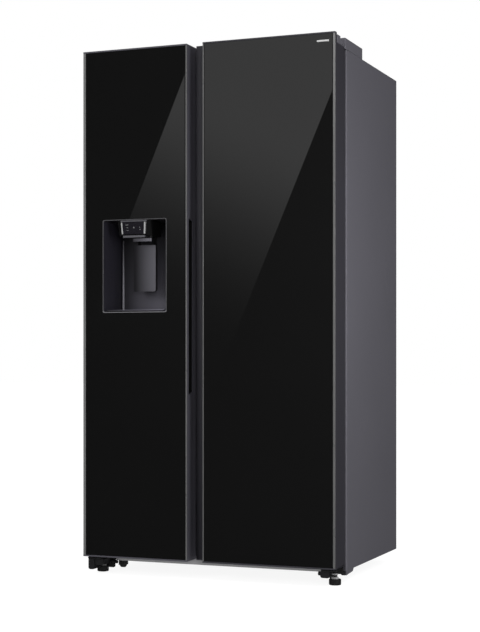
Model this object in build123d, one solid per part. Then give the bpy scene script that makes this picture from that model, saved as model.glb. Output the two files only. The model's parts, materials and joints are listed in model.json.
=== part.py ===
from build123d import *

import os

# Side by side refrigerator. Millimetres, +Z up, +Y to the back, +X to the right of someone
# who faces the doors. The origin is on the floor under the middle of the whole object.

# Overall sizes
HALF_WIDTH = 456.0
CASE_FRONT = -252.0
CASE_BACK = 358.0
CASE_BOTTOM = 44.0
CASE_TOP = 1755.0
DOOR_FRONT = -358.0
DOOR_BACK = -262.0
DOOR_BOTTOM = 61.5
DOOR_TOP = 1792.0

# Sheet and wall thicknesses
STEEL = 1.2
LINER = 2.0
SKIN = 1.5
GLASS = 3.0
CAP = 5.0

# Food spaces: left freezer, right fridge, with a step over the machine compartment
FREEZER_X = (-408.0, -92.0)
FRIDGE_X = (-28.0, 408.0)
SPACE_FLOOR = 110.0
SPACE_CEILING = 1694.0
SPACE_BACK = 270.0
STEP_Y = 110.0
STEP_Z = 340.0

# Machine compartment
MACHINE_FRONT = 150.0
MACHINE_FLOOR = 62.0
MACHINE_TOP = 300.0
DECK = 4.0

# Doors
DOOR_EDGE = 454.0
FREEZER_FREE = -66.4
FRIDGE_FREE = -9.0
FRIDGE_FLANGE = -53.5
FLANGE_FRONT = -306.0
TRIM_OUTER = 9.5
TRIM_INNER = 7.0
PIN_X = 434.0
PIN_Y = -306.0
PIN_R = 5.0
PIN_FIT = 0.05
BUSH_R = 12.0
NOSE_R = 12.3
COVER_WALL = 3.0
NOTCH_X = 410.0
NOTCH_FRONT = -340.0
NOTCH_FLOOR = 1759.0
GASKET_Z = (80.0, 1724.0)

# Handle pockets, cut into the facing edges of the doors
POCKET_FRONT = -340.0
POCKET_BACK = -310.4
POCKET_LOW = 624.0
POCKET_HIGH = 1206.0
POCKET_DEPTH = 25.0
POCKET_SLANT = 6.0

# Dispenser recess in the freezer door
RECESS_X = (-377.0, -143.0)
RECESS_Z = (899.0, 1210.0)
RECESS_BACK = -228.0
RECESS_DRAFT = 8.0
RECESS_WALL = 3.0
BULGE = 18.0
BEZEL = 3.0
LEVER_X = (-294.0, -212.0)
LEVER_Z = (970.0, 1129.0)
LEVER_PIVOT = (-253.0, -269.0, 1119.0)
LEVER_PIN_R = 2.0
FLAP_PIVOT = (-253.0, -283.0, 1146.0)
HEAD_LOW = 1158.0
CHUTE_X = -253.0
CHUTE_Y = -306.0
PANEL_HIGH = 1203.0
PANEL_LOW = 1163.0

# Inside fittings
FREEZER_SHELVES = (560.0, 780.0, 1000.0, 1220.0, 1430.0)
FRIDGE_SHELVES = (560.0, 790.0, 1020.0, 1250.0, 1470.0)
SHELF_FRONT = -140.0
SHELF_GLASS = 4.0
FREEZER_SHELF_BACK = 222.0
FRIDGE_SHELF_BACK = 240.0
LEDGE = 7.0
DRAWER_FRONT = -100.0
DRAWER_WALL = 3.0
DRAWER_FACE = 12.0
DRAWER_COVER = 333.0
LOWER_DRAWER_Z = (111.0, 322.0)
UPPER_DRAWER_Z = (341.0, 530.0)
BIN_WALL = 3.0
LOW_BIN = 70.0
FREEZER_BIN = 92.0
FRIDGE_BIN = 112.0
# Door bins as height of the base, height of the tub and depth
FREEZER_BINS = (
    (150.0, 110.0, LOW_BIN),
    (400.0, 100.0, LOW_BIN),
    (640.0, 100.0, FREEZER_BIN),
    (1270.0, 100.0, FREEZER_BIN),
    (1490.0, 90.0, FREEZER_BIN),
)
FRIDGE_BINS = (
    (150.0, 120.0, LOW_BIN),
    (420.0, 100.0, LOW_BIN),
    (700.0, 100.0, FRIDGE_BIN),
    (980.0, 100.0, FRIDGE_BIN),
    (1260.0, 100.0, FRIDGE_BIN),
    (1530.0, 90.0, FRIDGE_BIN),
)
RIB_BACK = -222.0
FREEZER_RIBS = ((-402.0, -387.0), (-131.0, -114.0))
FRIDGE_RIBS = ((-4.0, 14.0), (382.0, 400.0))

# Feet and rollers. A roller is given as its x on the right side, its y and its height off the floor
FOOT_X = 424.0
FOOT_Y = -267.0
FOOT_R = 20.0
FOOT_HEIGHT = 20.0
STUD_R = 5.0
ROLLER_R = 18.0
ROLLER_WIDTH = 16.0
AXLE_R = 4.0
FRONT_ROLLER = (388.0, -180.0, 3.5)
REAR_ROLLER = (345.0, 312.0, 0.0)
KICK_X = 379.0

# Compressor and fans
COMPRESSOR = (-300.0, 250.0)
FAN_SHAFT_R = 3.0
EVAPORATOR_FAN = (-250.0, 246.0, 1120.0)
CONDENSER_FAN = (150.0, 250.0, 170.0)
FAN_R = 56.0


def block(x, y, z):
    """Box between the low and high value on each axis."""
    size = Box(x[1] - x[0], y[1] - y[0], z[1] - z[0])
    return Pos((x[0] + x[1]) / 2, (y[0] + y[1]) / 2, (z[0] + z[1]) / 2) * size


def rod(radius, start, end):
    """Cylinder between two points."""
    axis = Vector(*end) - Vector(*start)
    return Solid.make_cylinder(radius, axis.length, Plane(origin=start, z_dir=axis))


def side_prism(points, x):
    """Outline of (y, z) points, extended along X between two values."""
    face = Plane.YZ * Polygon(*points, align=None)
    return Pos(x[0], 0, 0) * extrude(face, x[1] - x[0])


def plan_prism(points, z):
    """Outline of (x, y) points, extended along Z between two values."""
    return Pos(0, 0, z[0]) * extrude(Polygon(*points, align=None), z[1] - z[0])


def front_prism(points, y):
    """Outline of (x, z) points, extended along Y between two values."""
    face = Plane.XZ * Polygon(*points, align=None)
    return Pos(0, y[1], 0) * extrude(face, y[1] - y[0])


def mirrored(shape):
    """The same piece for the other side."""
    return shape.mirror(Plane.YZ)


def tray(x, y, z, wall):
    """Open-topped box with walls and a floor of one thickness."""
    inside = block((x[0] + wall, x[1] - wall), (y[0] + wall, y[1] - wall), (z[0] + wall, z[1] + 1))
    return block(x, y, z) - inside


def save(name, *shapes):
    """Write one node, made of one or more separate solids."""
    solids = [solid for shape in shapes for solid in shape.solids()]
    export_step(Compound(solids), f"parts/{name}.step")


# ---------------------------------------------------------------- cabinet


def outer_case():
    """Painted steel wrap: two sides and a top."""
    outside = block((-HALF_WIDTH, HALF_WIDTH), (CASE_FRONT, CASE_BACK), (CASE_BOTTOM, CASE_TOP))
    top_edges = outside.edges().filter_by(Axis.Y).group_by(Axis.Z)[-1]
    outside = fillet(top_edges, 2.5)
    half_inside = HALF_WIDTH - STEEL
    inside = block(
        (-half_inside, half_inside),
        (CASE_FRONT - 1, CASE_BACK + 1),
        (CASE_BOTTOM - 1, CASE_TOP - STEEL),
    )
    return outside - inside


def back_panel():
    half = HALF_WIDTH - STEEL
    return block((-half, half), (CASE_BACK - STEEL, CASE_BACK), (MACHINE_TOP, CASE_TOP - STEEL))


def front_flange():
    """Steel face that the door gaskets close on, open at both food spaces."""
    half = HALF_WIDTH - STEEL
    face_y = (CASE_FRONT, CASE_FRONT + STEEL)
    face = block((-half, half), face_y, (MACHINE_FLOOR, CASE_TOP - STEEL))
    for space in (FREEZER_X, FRIDGE_X):
        face -= block(space, (CASE_FRONT - 1, CASE_FRONT + 2), (SPACE_FLOOR, SPACE_CEILING))
    return face


def insulation():
    """Foam between the steel and the liners, as the slabs that fill each wall."""
    side = HALF_WIDTH - STEEL
    front = CASE_FRONT + STEEL
    back = CASE_BACK - STEEL
    top = CASE_TOP - STEEL
    outer_x = FRIDGE_X[1] + LINER
    middle_x = (FREEZER_X[1] + LINER, FRIDGE_X[0] - LINER)
    back_y = SPACE_BACK + LINER
    step_y = STEP_Y + LINER
    step_z = STEP_Z - LINER
    floor_z = SPACE_FLOOR - LINER
    ceiling_z = SPACE_CEILING + LINER
    return [
        block((-side, -outer_x), (front, back), (step_z, top)),
        block((outer_x, side), (front, back), (step_z, top)),
        block(middle_x, (front, back_y), (step_z, ceiling_z)),
        block((-outer_x, outer_x), (back_y, back), (step_z, top)),
        block((-outer_x, outer_x), (front, back_y), (ceiling_z, top)),
        block((-side, side), (step_y, back), (MACHINE_TOP, step_z)),
        block((-side, -outer_x), (front, step_y), (floor_z, step_z)),
        block((outer_x, side), (front, step_y), (floor_z, step_z)),
        block(middle_x, (front, step_y), (floor_z, step_z)),
        block((-side, side), (step_y, MACHINE_FRONT), (MACHINE_FLOOR, MACHINE_TOP)),
        block((-side, side), (front, step_y), (MACHINE_FLOOR, floor_z)),
    ]


def space_outline(front, grow):
    """Side outline of a food space, grown outwards by a thickness."""
    return [
        (front, SPACE_FLOOR - grow),
        (STEP_Y + grow, SPACE_FLOOR - grow),
        (STEP_Y + grow, STEP_Z - grow),
        (SPACE_BACK + grow, STEP_Z - grow),
        (SPACE_BACK + grow, SPACE_CEILING + grow),
        (front, SPACE_CEILING + grow),
    ]


def liner(space, shelves, shelf_back):
    """Moulded inner wall with a ledge on each side under every shelf."""
    shell = side_prism(space_outline(CASE_FRONT + STEEL, LINER), (space[0] - LINER, space[1] + LINER))
    shell -= side_prism(space_outline(CASE_FRONT - 1, 0), space)
    ledges = [(shelf, SHELF_FRONT + 12, shelf_back) for shelf in shelves]
    ledges.append((DRAWER_COVER, DRAWER_FRONT + 12, STEP_Y - 2))
    for top, front, back in ledges:
        for x in ((space[0], space[0] + LEDGE), (space[1] - LEDGE, space[1])):
            shell += block(x, (front, back), (top - LEDGE, top))
    return shell


def shelf_glass(space, shelves, back):
    """Glass plates of the shelves, and the plate over the lower drawer."""
    span = (space[0] + 1.5, space[1] - 1.5)
    plates = [block(span, (DRAWER_FRONT, STEP_Y - 1), (DRAWER_COVER, DRAWER_COVER + 5))]
    for shelf in shelves:
        plates.append(block(span, (SHELF_FRONT + 10, back), (shelf, shelf + SHELF_GLASS)))
    return plates


def shelf_trims(space, shelves):
    """Front rail of each shelf, with a rounded nose."""
    trims = []
    for shelf in shelves:
        rail = block(
            (space[0] + 1.5, space[1] - 1.5),
            (SHELF_FRONT, SHELF_FRONT + 10),
            (shelf - 8, shelf + SHELF_GLASS + 4),
        )
        nose = rail.edges().filter_by(Axis.X).group_by(Axis.Y)[0]
        trims.append(fillet(nose, 4))
    return trims


def evaporator_cover():
    """Back wall panel of the freezer, with rows of air slots and the fan opening."""
    x = (FREEZER_X[0] + 1, FREEZER_X[1] - 1)
    panel = block(x, (225.0, 228.0), (STEP_Z + 1, SPACE_CEILING - 1))
    for row in (620.0, 860.0, 1300.0, 1520.0):
        for column in range(6):
            centre = -340.0 + column * 36
            panel -= block((centre - 12, centre + 12), (224, 229), (row - 4, row + 4))
    fan_x, _, fan_z = EVAPORATOR_FAN
    for angle in range(0, 360, 45):
        hole = Pos(fan_x, 0, fan_z) * Rot(0, angle, 0) * block((22, 48), (224, 229), (-4, 4))
        panel -= hole
    return panel


def evaporator_coil():
    """Finned coil behind the freezer's back wall panel."""
    coil = block((-384.0, -380.0), (236.0, 266.0), (400.0, 800.0))
    coil += block((-120.0, -116.0), (236.0, 266.0), (400.0, 800.0))
    for level in range(6):
        z = 430.0 + level * 68
        coil += rod(4, (-382, 251, z), (-118, 251, z))
    for fin in range(13):
        x = -365.0 + fin * 19
        coil += block((x, x + 1), (238, 264), (405, 795))
    return coil


def duct_cover():
    """Cold air duct on the fridge's back wall, with side outlets."""
    duct = block((130.0, 250.0), (246.0, SPACE_BACK), (560.0, 1660.0))
    duct = fillet(duct.edges().filter_by(Axis.Z).group_by(Axis.Y)[0], 8)
    for shelf in FRIDGE_SHELVES:
        z = shelf + 90
        duct -= block((165, 215), (245, 252), (z, z + 6))
        duct -= block((165, 215), (245, 252), (z + 14, z + 20))
    return duct


def lamps():
    """Flat lamp strips under the ceilings of both spaces."""
    lamp_y = (-120.0, -60.0)
    lamp_z = (SPACE_CEILING - 6, SPACE_CEILING)
    return [block((-330.0, -170.0), lamp_y, lamp_z), block((90.0, 290.0), lamp_y, lamp_z)]


def ice_maker():
    """Ice tray housing under the freezer's ceiling, with its tray open at the top."""
    housing = block((FREEZER_X[0], -110.0), (-60.0, 200.0), (1590.0, 1660.0))
    housing -= block((-380.0, -140.0), (-40.0, 180.0), (1605.0, 1661.0))
    for cell in range(7):
        y = -12.0 + cell * 30
        housing += block((-380.0, -140.0), (y, y + 3), (1605.0, 1645.0))
    return housing


def ice_bucket():
    """Open bucket that stands on the top freezer shelf."""
    low = FREEZER_SHELVES[-1] + SHELF_GLASS
    return tray((-392.0, -108.0), (-118.0, 205.0), (low, low + 120.0), 4.0)


def base_frame():
    """Steel chassis under the cabinet and around the machine compartment."""
    side = HALF_WIDTH - STEEL
    front = CASE_FRONT + STEEL
    back = CASE_BACK - STEEL
    rail_z = (CASE_BOTTOM, MACHINE_FLOOR)
    rail = side - 60
    return [
        block((-side, -rail), (front, back), rail_z),
        block((rail, side), (front, back), rail_z),
        block((-rail, rail), (front, front + 95), rail_z),
        block((-rail, rail), (MACHINE_FRONT, back), (CASE_BOTTOM, CASE_BOTTOM + DECK)),
        block((-side, -side + 5), (MACHINE_FRONT, back), (MACHINE_FLOOR, MACHINE_TOP)),
        block((side - 5, side), (MACHINE_FRONT, back), (MACHINE_FLOOR, MACHINE_TOP)),
    ]


def kick_plate():
    """Front skirt strip under the doors, with a folded lower lip."""
    plate = block((-KICK_X, KICK_X), (CASE_FRONT - 2, CASE_FRONT), (38.0, MACHINE_FLOOR))
    lip = block((-KICK_X, KICK_X), (CASE_FRONT - 2, CASE_FRONT + 14), (38.0, 40.0))
    return plate + lip


def machine_cover():
    """Rear cover of the machine compartment with rows of air slots."""
    half = HALF_WIDTH - STEEL - 6
    cover = block((-half, half), (CASE_BACK - STEEL, CASE_BACK), (CASE_BOTTOM + 6, MACHINE_TOP))
    slot_y = (CASE_BACK - 3, CASE_BACK + 1)
    for row in range(5):
        z = 120.0 + row * 30
        for column in range(8):
            x = -380.0 + column * 80
            cover -= block((x, x + 55), slot_y, (z, z + 8))
    cover -= block((350.0, 394.0), slot_y, (100.0, 134.0))
    return cover


def cord_inlet():
    """Moulded power inlet with three blades in a socket that opens to the back."""
    socket = block((350.0, 394.0), (CASE_BACK - 30, CASE_BACK), (100.0, 134.0))
    socket -= block((355.0, 389.0), (CASE_BACK - 22, CASE_BACK + 1), (105.0, 129.0))
    for x, z in ((364, 112), (380, 112), (372, 121)):
        socket += block((x - 1, x + 1), (CASE_BACK - 23, CASE_BACK - 8), (z - 2.5, z + 2.5))
    return socket


# ---------------------------------------------------------------- machine compartment


def compressor():
    """Welded shell on a foot plate that stands on four feet."""
    x, y = COMPRESSOR
    shell = Pos(x, y, 152) * Cylinder(72, 150)
    shell = fillet(shell.edges().filter_by(GeomType.CIRCLE), 26)
    plate = block((x - 85, x + 85), (y - 75, y + 75), (66.0, 70.0))
    neck = Pos(x, y, 76) * Cylinder(46, 14)
    terminal_box = block((x + 64, x + 88), (y - 25, y + 25), (120.0, 180.0))
    body = shell + plate + neck + terminal_box
    for foot_x in (x - 72, x + 72):
        for foot_y in (y - 62, y + 62):
            body += rod(10, (foot_x, foot_y, CASE_BOTTOM + DECK), (foot_x, foot_y, 67))
    return body


def condenser():
    """Finned condenser in the fan's air path."""
    coil = block((-150.0, -147.0), (180.0, 330.0), (90.0, 250.0))
    for fin in range(17):
        x = -138.0 + fin * 12
        coil += block((x, x + 1), (182, 328), (92, 248))
    coil += block((62.0, 65.0), (180.0, 330.0), (90.0, 250.0))
    for y in (205, 255, 305):
        for z in (115, 170, 225):
            coil += rod(5, (-150, y, z), (65, y, z))
    return coil


def drain_pan():
    return tray((-180.0, 90.0), (172.0, 338.0), (CASE_BOTTOM + DECK, 86.0), 2.5)


def pipes():
    """Suction and discharge lines between the compressor and the condenser."""
    x, middle = COMPRESSOR
    lines = []
    for y, high in ((205.0, 196.0), (305.0, 186.0)):
        line = rod(4, (x + 72.1, middle, high), (-190, middle, high))
        line += rod(4, (-190, min(y, middle) - 4, high), (-190, max(y, middle) + 4, high))
        line += rod(4, (-190, y, high), (-190, y, 111))
        line += rod(4, (-194, y, 115), (-150, y, 115))
        lines.append(line)
    return lines


def fan(blades, pitch):
    """Fan around the Y axis at the origin, with a bored hub and pitched blades."""
    hub = rod(16, (0, -9, 0), (0, 9, 0))
    wheel = hub
    for blade in range(blades):
        arm = Rot(0, blade * 360 / blades, 0) * Pos(34, 0, 0) * Rot(pitch, 0, 0)
        wheel += arm * Box(40, 1.6, 30)
    limit = rod(FAN_R, (0, -14, 0), (0, 14, 0))
    bore = rod(FAN_SHAFT_R + PIN_FIT, (0, -10, 0), (0, 10, 0))
    return (wheel & limit) - bore


def evaporator_fan():
    return Pos(*EVAPORATOR_FAN) * fan(5, 32)


def condenser_fan():
    return Pos(*CONDENSER_FAN) * Rot(0, 0, 90) * fan(7, 35)


def fan_motors():
    """Motor bodies with the shafts that the fans turn on."""
    x, y, z = EVAPORATOR_FAN
    freezer_motor = rod(15, (x, y + 11, z), (x, SPACE_BACK, z))
    freezer_motor += rod(FAN_SHAFT_R, (x, y - 12, z), (x, y + 11, z))
    x, y, z = CONDENSER_FAN
    rear_motor = rod(20, (x + 11, y, z), (x + 50, y, z))
    rear_motor += rod(FAN_SHAFT_R, (x - 12, y, z), (x + 11, y, z))
    rear_motor += block((x + 20, x + 40), (y - 6, y + 6), (CASE_BOTTOM + DECK, z - 10))
    return [freezer_motor, rear_motor]


def fan_shroud():
    """Plate with a ring around the condenser fan."""
    x, y, z = CONDENSER_FAN
    plate = block((x - 4, x + 4), (172, 338), (CASE_BOTTOM + DECK, 262))
    return plate - rod(FAN_R + 3, (x - 5, y, z), (x + 5, y, z))


# ---------------------------------------------------------------- hinges, feet and rollers


def top_hinge():
    """Right top hinge: base on the cabinet, arm over the door and a pin pointing down."""
    arm_z = (1762.0, 1766.0)
    outline = [(352, -237), (438, -237), (444, -230), (444, -150), (352, -150)]
    base = plan_prism(outline, (CASE_TOP, arm_z[1]))
    arm = block((PIN_X - 10, PIN_X + 10), (PIN_Y, -225.0), arm_z)
    arm += rod(10, (PIN_X, PIN_Y, arm_z[0]), (PIN_X, PIN_Y, arm_z[1]))
    pin = rod(PIN_R, (PIN_X, PIN_Y, 1738.0), (PIN_X, PIN_Y, arm_z[0] + 1))
    return base + arm + pin


def hinge_screws():
    """Hexagon screws that hold the top hinges to the cabinet."""
    screws = []
    for x, y in ((370, -170), (398, -210), (426, -170)):
        head = extrude(Pos(x, y, 1766.0) * RegularPolygon(6, 6), 4.5)
        screws += [head, mirrored(head)]
    return screws


def hinge_cover():
    """Right plastic cover over the top hinge: a box, a low bridge and a nose over the pin."""
    side = HALF_WIDTH - 0.5
    low, bridge_top, nose_back = 1760.0, 1780.0, -288.0
    inside = NOSE_R - COVER_WALL + 1
    cover = block((344, side), (CASE_FRONT, -72), (CASE_TOP, DOOR_TOP))
    cover = fillet(cover.edges().filter_by(Axis.Z), 3)
    cover = chamfer(cover.faces().sort_by(Axis.Z)[-1].edges(), 2)
    hollow_y = (CASE_FRONT + COVER_WALL, -72 - COVER_WALL)
    hollow_z = (CASE_TOP - 1, DOOR_TOP - COVER_WALL)
    cover -= block((344 + COVER_WALL, side - COVER_WALL), hollow_y, hollow_z)
    cover += block((PIN_X - NOSE_R, PIN_X + NOSE_R), (PIN_Y, -238.0), (low, bridge_top))
    cover += block((PIN_X - NOSE_R, PIN_X + NOSE_R), (PIN_Y, nose_back), (low, DOOR_TOP))
    cover += rod(NOSE_R, (PIN_X, PIN_Y, low), (PIN_X, PIN_Y, DOOR_TOP))
    room_x = (PIN_X - inside, PIN_X + inside)
    room = block(room_x, (PIN_Y, -220.0), (low - 1, bridge_top - COVER_WALL))
    room += block(room_x, (PIN_Y, nose_back - COVER_WALL), (low - 1, DOOR_TOP - COVER_WALL))
    room += rod(inside, (PIN_X, PIN_Y, low - 1), (PIN_X, PIN_Y, DOOR_TOP - COVER_WALL))
    return cover - room


def bottom_hinge():
    """Right bottom hinge: bent plate, door pin and the nut hole of the front foot."""
    plate = block((397.0, 448.0), (-340.0, CASE_FRONT), (52.0, 57.0))
    plate = fillet(plate.edges().filter_by(Axis.Z).group_by(Axis.Y)[0], 8)
    plate += block((380.0, 448.0), (CASE_FRONT - 4, CASE_FRONT), (34.0, 57.0))
    plate += rod(9, (PIN_X, PIN_Y, 56.0), (PIN_X, PIN_Y, DOOR_BOTTOM - 0.3))
    plate += rod(PIN_R, (PIN_X, PIN_Y, 56.0), (PIN_X, PIN_Y, 82.0))
    return plate - rod(STUD_R + PIN_FIT, (FOOT_X, FOOT_Y, 50), (FOOT_X, FOOT_Y, 58))


def leg_cover(x, y, low):
    """Black plastic block clipped under the front of a bottom hinge."""
    cover = block(x, y, (low, 52.0))
    return fillet(cover.edges().filter_by(Axis.Y).group_by(Axis.Z)[0], 7)


def leg_bolt(centre, radius, half_length):
    """Hexagon adjuster head that lies along X."""
    return Pos(*centre) * Rot(0, 90, 0) * extrude(RegularPolygon(radius, 6), half_length, both=True)


def foot(side):
    """Levelling foot: round pad on a threaded stud."""
    x = side * FOOT_X
    pad = Pos(x, FOOT_Y, FOOT_HEIGHT / 2) * Cylinder(FOOT_R, FOOT_HEIGHT)
    pad = fillet(pad.edges().group_by(Axis.Z)[-1], 3)
    pad = fillet(pad.edges().group_by(Axis.Z)[0], 2)
    nut = Pos(x, FOOT_Y, FOOT_HEIGHT) * extrude(RegularPolygon(13, 6), 6)
    lock_nut = Pos(x, FOOT_Y, 33) * extrude(RegularPolygon(10, 6), 5)
    stud = rod(STUD_R, (x, FOOT_Y, FOOT_HEIGHT - 2), (x, FOOT_Y, 60.5))
    return pad + nut + lock_nut + stud


def roller(side, place):
    """Transport roller with a crowned rim and a bored centre."""
    x = side * place[0]
    y = place[1]
    z = ROLLER_R + place[2]
    half = ROLLER_WIDTH / 2
    wheel = rod(ROLLER_R, (x - half, y, z), (x + half, y, z))
    wheel = fillet(wheel.edges().filter_by(GeomType.CIRCLE), 2.5)
    return wheel - rod(AXLE_R + PIN_FIT, (x - half - 1, y, z), (x + half + 1, y, z))


def roller_bracket(side, place):
    """Two cheeks, a bridge and the axle of one roller."""
    x = side * place[0]
    y = place[1]
    z = ROLLER_R + place[2]
    cheek = ROLLER_WIDTH / 2 + 1
    span_y = (y - 16, y + 16)
    bracket = block((x - cheek - 2, x + cheek + 2), span_y, (CASE_BOTTOM - 3, CASE_BOTTOM))
    for low, high in ((-cheek - 2, -cheek), (cheek, cheek + 2)):
        bracket += block((x + low, x + high), span_y, (z - 9, CASE_BOTTOM))
    bracket += rod(AXLE_R, (x - cheek - 4, y, z), (x + cheek + 4, y, z))
    return bracket


def side_rail(side):
    """Dark rail under the front of a side panel, tapered towards the back."""
    low, high = CASE_BOTTOM - 14, CASE_BOTTOM
    outline = [(CASE_FRONT, low), (-200.0, low), (-173.0, high), (CASE_FRONT, high)]
    return side_prism(outline, tuple(sorted((side * 440.0, side * 454.0))))


# ---------------------------------------------------------------- doors


def slanted_pocket(x, grow):
    """Slot with slanted ends in a door edge, grown by a wall thickness."""
    outline = [
        (POCKET_FRONT - grow, POCKET_LOW - POCKET_SLANT - grow),
        (POCKET_BACK + grow, POCKET_LOW + POCKET_SLANT - grow),
        (POCKET_BACK + grow, POCKET_HIGH - POCKET_SLANT + grow),
        (POCKET_FRONT - grow, POCKET_HIGH + POCKET_SLANT + grow),
    ]
    return side_prism(outline, x)


def door_glass(x):
    """Glass front, set 1 mm behind the face of the edge trims."""
    y = (DOOR_FRONT + 1, DOOR_FRONT + 1 + GLASS)
    return block(x, y, (DOOR_BOTTOM + CAP, DOOR_TOP - CAP))


def freezer_glass():
    x = (-DOOR_EDGE + TRIM_OUTER, FREEZER_FREE - TRIM_INNER)
    opening_x = (RECESS_X[0] - BEZEL, RECESS_X[1] + BEZEL)
    opening_z = (RECESS_Z[0] - BEZEL, RECESS_Z[1] + BEZEL)
    opening = block(opening_x, (DOOR_FRONT - 1, DOOR_FRONT + 6), opening_z)
    opening = fillet(opening.edges().filter_by(Axis.Y), 7)
    return door_glass(x) - opening


def fridge_glass():
    return door_glass((FRIDGE_FREE + TRIM_INNER, DOOR_EDGE - TRIM_OUTER))


def edge_trims(x_low, x_high, low_width, high_width):
    """Metal strips down both front edges of a door."""
    y = (DOOR_FRONT, DOOR_FRONT + 1 + GLASS)
    z = (DOOR_BOTTOM + CAP, DOOR_TOP - CAP)
    strips = []
    for x in ((x_low, x_low + low_width), (x_high - high_width, x_high)):
        strip = block(x, y, z)
        front_edges = strip.edges().filter_by(Axis.Z).group_by(Axis.Y)[0]
        strips.append(chamfer(front_edges, 0.8))
    return strips


def bush_bore(side, z):
    return rod(PIN_R + PIN_FIT, (side * PIN_X, PIN_Y, z[0]), (side * PIN_X, PIN_Y, z[1]))


def bush_room(side, z):
    return rod(BUSH_R, (side * PIN_X, PIN_Y, z[0]), (side * PIN_X, PIN_Y, z[1]))


def door_outline(side, inset):
    """Plan outline of a door body. With an inset it is the space inside, open at the back."""
    free = FRIDGE_FREE + inset
    flange = FRIDGE_FLANGE + inset
    edge = DOOR_EDGE - inset
    front = DOOR_FRONT if inset == 0 else DOOR_FRONT + 1 + GLASS
    back = DOOR_BACK if inset == 0 else DOOR_BACK + 1
    if side > 0:
        step = FLANGE_FRONT + inset
        return [(free, front), (edge, front), (edge, back), (flange, back), (flange, step), (free, step)]
    inner = FREEZER_FREE - inset
    return [(-edge, front), (inner, front), (inner, back), (-edge, back)]


def notch(side, grow):
    """Cut in the top outer rear corner of a door that clears the hinge arm."""
    x = tuple(sorted((side * (NOTCH_X - grow), side * (DOOR_EDGE + 1))))
    return block(x, (NOTCH_FRONT - grow, DOOR_BACK + 1), (NOTCH_FLOOR - grow, DOOR_TOP + 1))


def door_caps(side):
    """Moulded bottom and top end caps, with the bushes that turn on the hinge pins."""
    low_z = (DOOR_BOTTOM, DOOR_BOTTOM + CAP)
    bottom = plan_prism(door_outline(side, 0), low_z)
    bottom += bush_room(side, (low_z[0], low_z[0] + 24))
    bottom -= bush_bore(side, (low_z[0] - 1, low_z[0] + 25))
    high_z = (DOOR_TOP - CAP, DOOR_TOP)
    floor = NOTCH_FLOOR
    corner = notch(side, SKIN) & plan_prism(door_outline(side, 0), (floor - SKIN, DOOR_TOP - CAP))
    top = plan_prism(door_outline(side, 0), high_z) + corner
    top += bush_room(side, (floor - 24, floor))
    top -= notch(side, 0)
    top -= bush_bore(side, (floor - 25, floor + 1))
    return [bottom, top]


def door_shell(side):
    """Painted sheet around the edges of a door, between the end caps."""
    z = (DOOR_BOTTOM + CAP, DOOR_TOP - CAP)
    sheet = plan_prism(door_outline(side, 0), z)
    sheet -= plan_prism(door_outline(side, SKIN), (z[0] - 1, z[1] + 1))
    sheet -= block((-500, 500), (DOOR_FRONT - 1, DOOR_FRONT + 1 + GLASS), z)
    sheet -= notch(side, SKIN)
    free = FREEZER_FREE if side < 0 else FRIDGE_FREE
    return sheet - slanted_pocket((free - 5, free + 5), 0)


def handle_pocket(side):
    """Dark finger pocket set into a door edge."""
    wall = 2.0
    if side < 0:
        mouth = FREEZER_FREE
        outside = (mouth - POCKET_DEPTH - wall, mouth - SKIN)
        inside = (mouth - POCKET_DEPTH, mouth + 1)
    else:
        mouth = FRIDGE_FREE
        outside = (mouth + SKIN, mouth + POCKET_DEPTH + wall)
        inside = (mouth - 1, mouth + POCKET_DEPTH)
    return slanted_pocket(outside, wall) - slanted_pocket(inside, 0)


def fridge_door_foam():
    """Foam slabs that fill the fridge door around the pocket and the hinge notch."""
    free = FRIDGE_FREE + SKIN
    edge = DOOR_EDGE - SKIN
    front = DOOR_FRONT + 1 + GLASS
    back = DOOR_BACK - LINER
    low = DOOR_BOTTOM + CAP
    high = DOOR_TOP - CAP
    shelf = NOTCH_FLOOR - SKIN
    deep = FRIDGE_FREE + POCKET_DEPTH + 2
    step = FLANGE_FRONT + SKIN
    notch_x = NOTCH_X - SKIN
    pocket_low = POCKET_LOW - POCKET_SLANT - 2
    pocket_high = POCKET_HIGH + POCKET_SLANT + 2
    main = block((deep, edge), (front, back), (low, shelf))
    main -= bush_room(1, (low - 1, DOOR_BOTTOM + 24))
    main -= bush_room(1, (NOTCH_FLOOR - 24, shelf + 1))
    return [
        main,
        block((deep, notch_x), (front, back), (shelf, high)),
        block((notch_x, edge), (front, NOTCH_FRONT - SKIN), (shelf, high)),
        block((FRIDGE_FLANGE + SKIN, deep), (step, back), (low, high)),
        block((free, deep), (front, step), (pocket_high, high)),
        block((free, deep), (front, step), (low, pocket_low)),
        block((free, deep), (front, POCKET_FRONT - 2), (pocket_low, pocket_high)),
        block((free, deep), (POCKET_BACK + 2, step), (pocket_low, pocket_high)),
    ]


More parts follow.
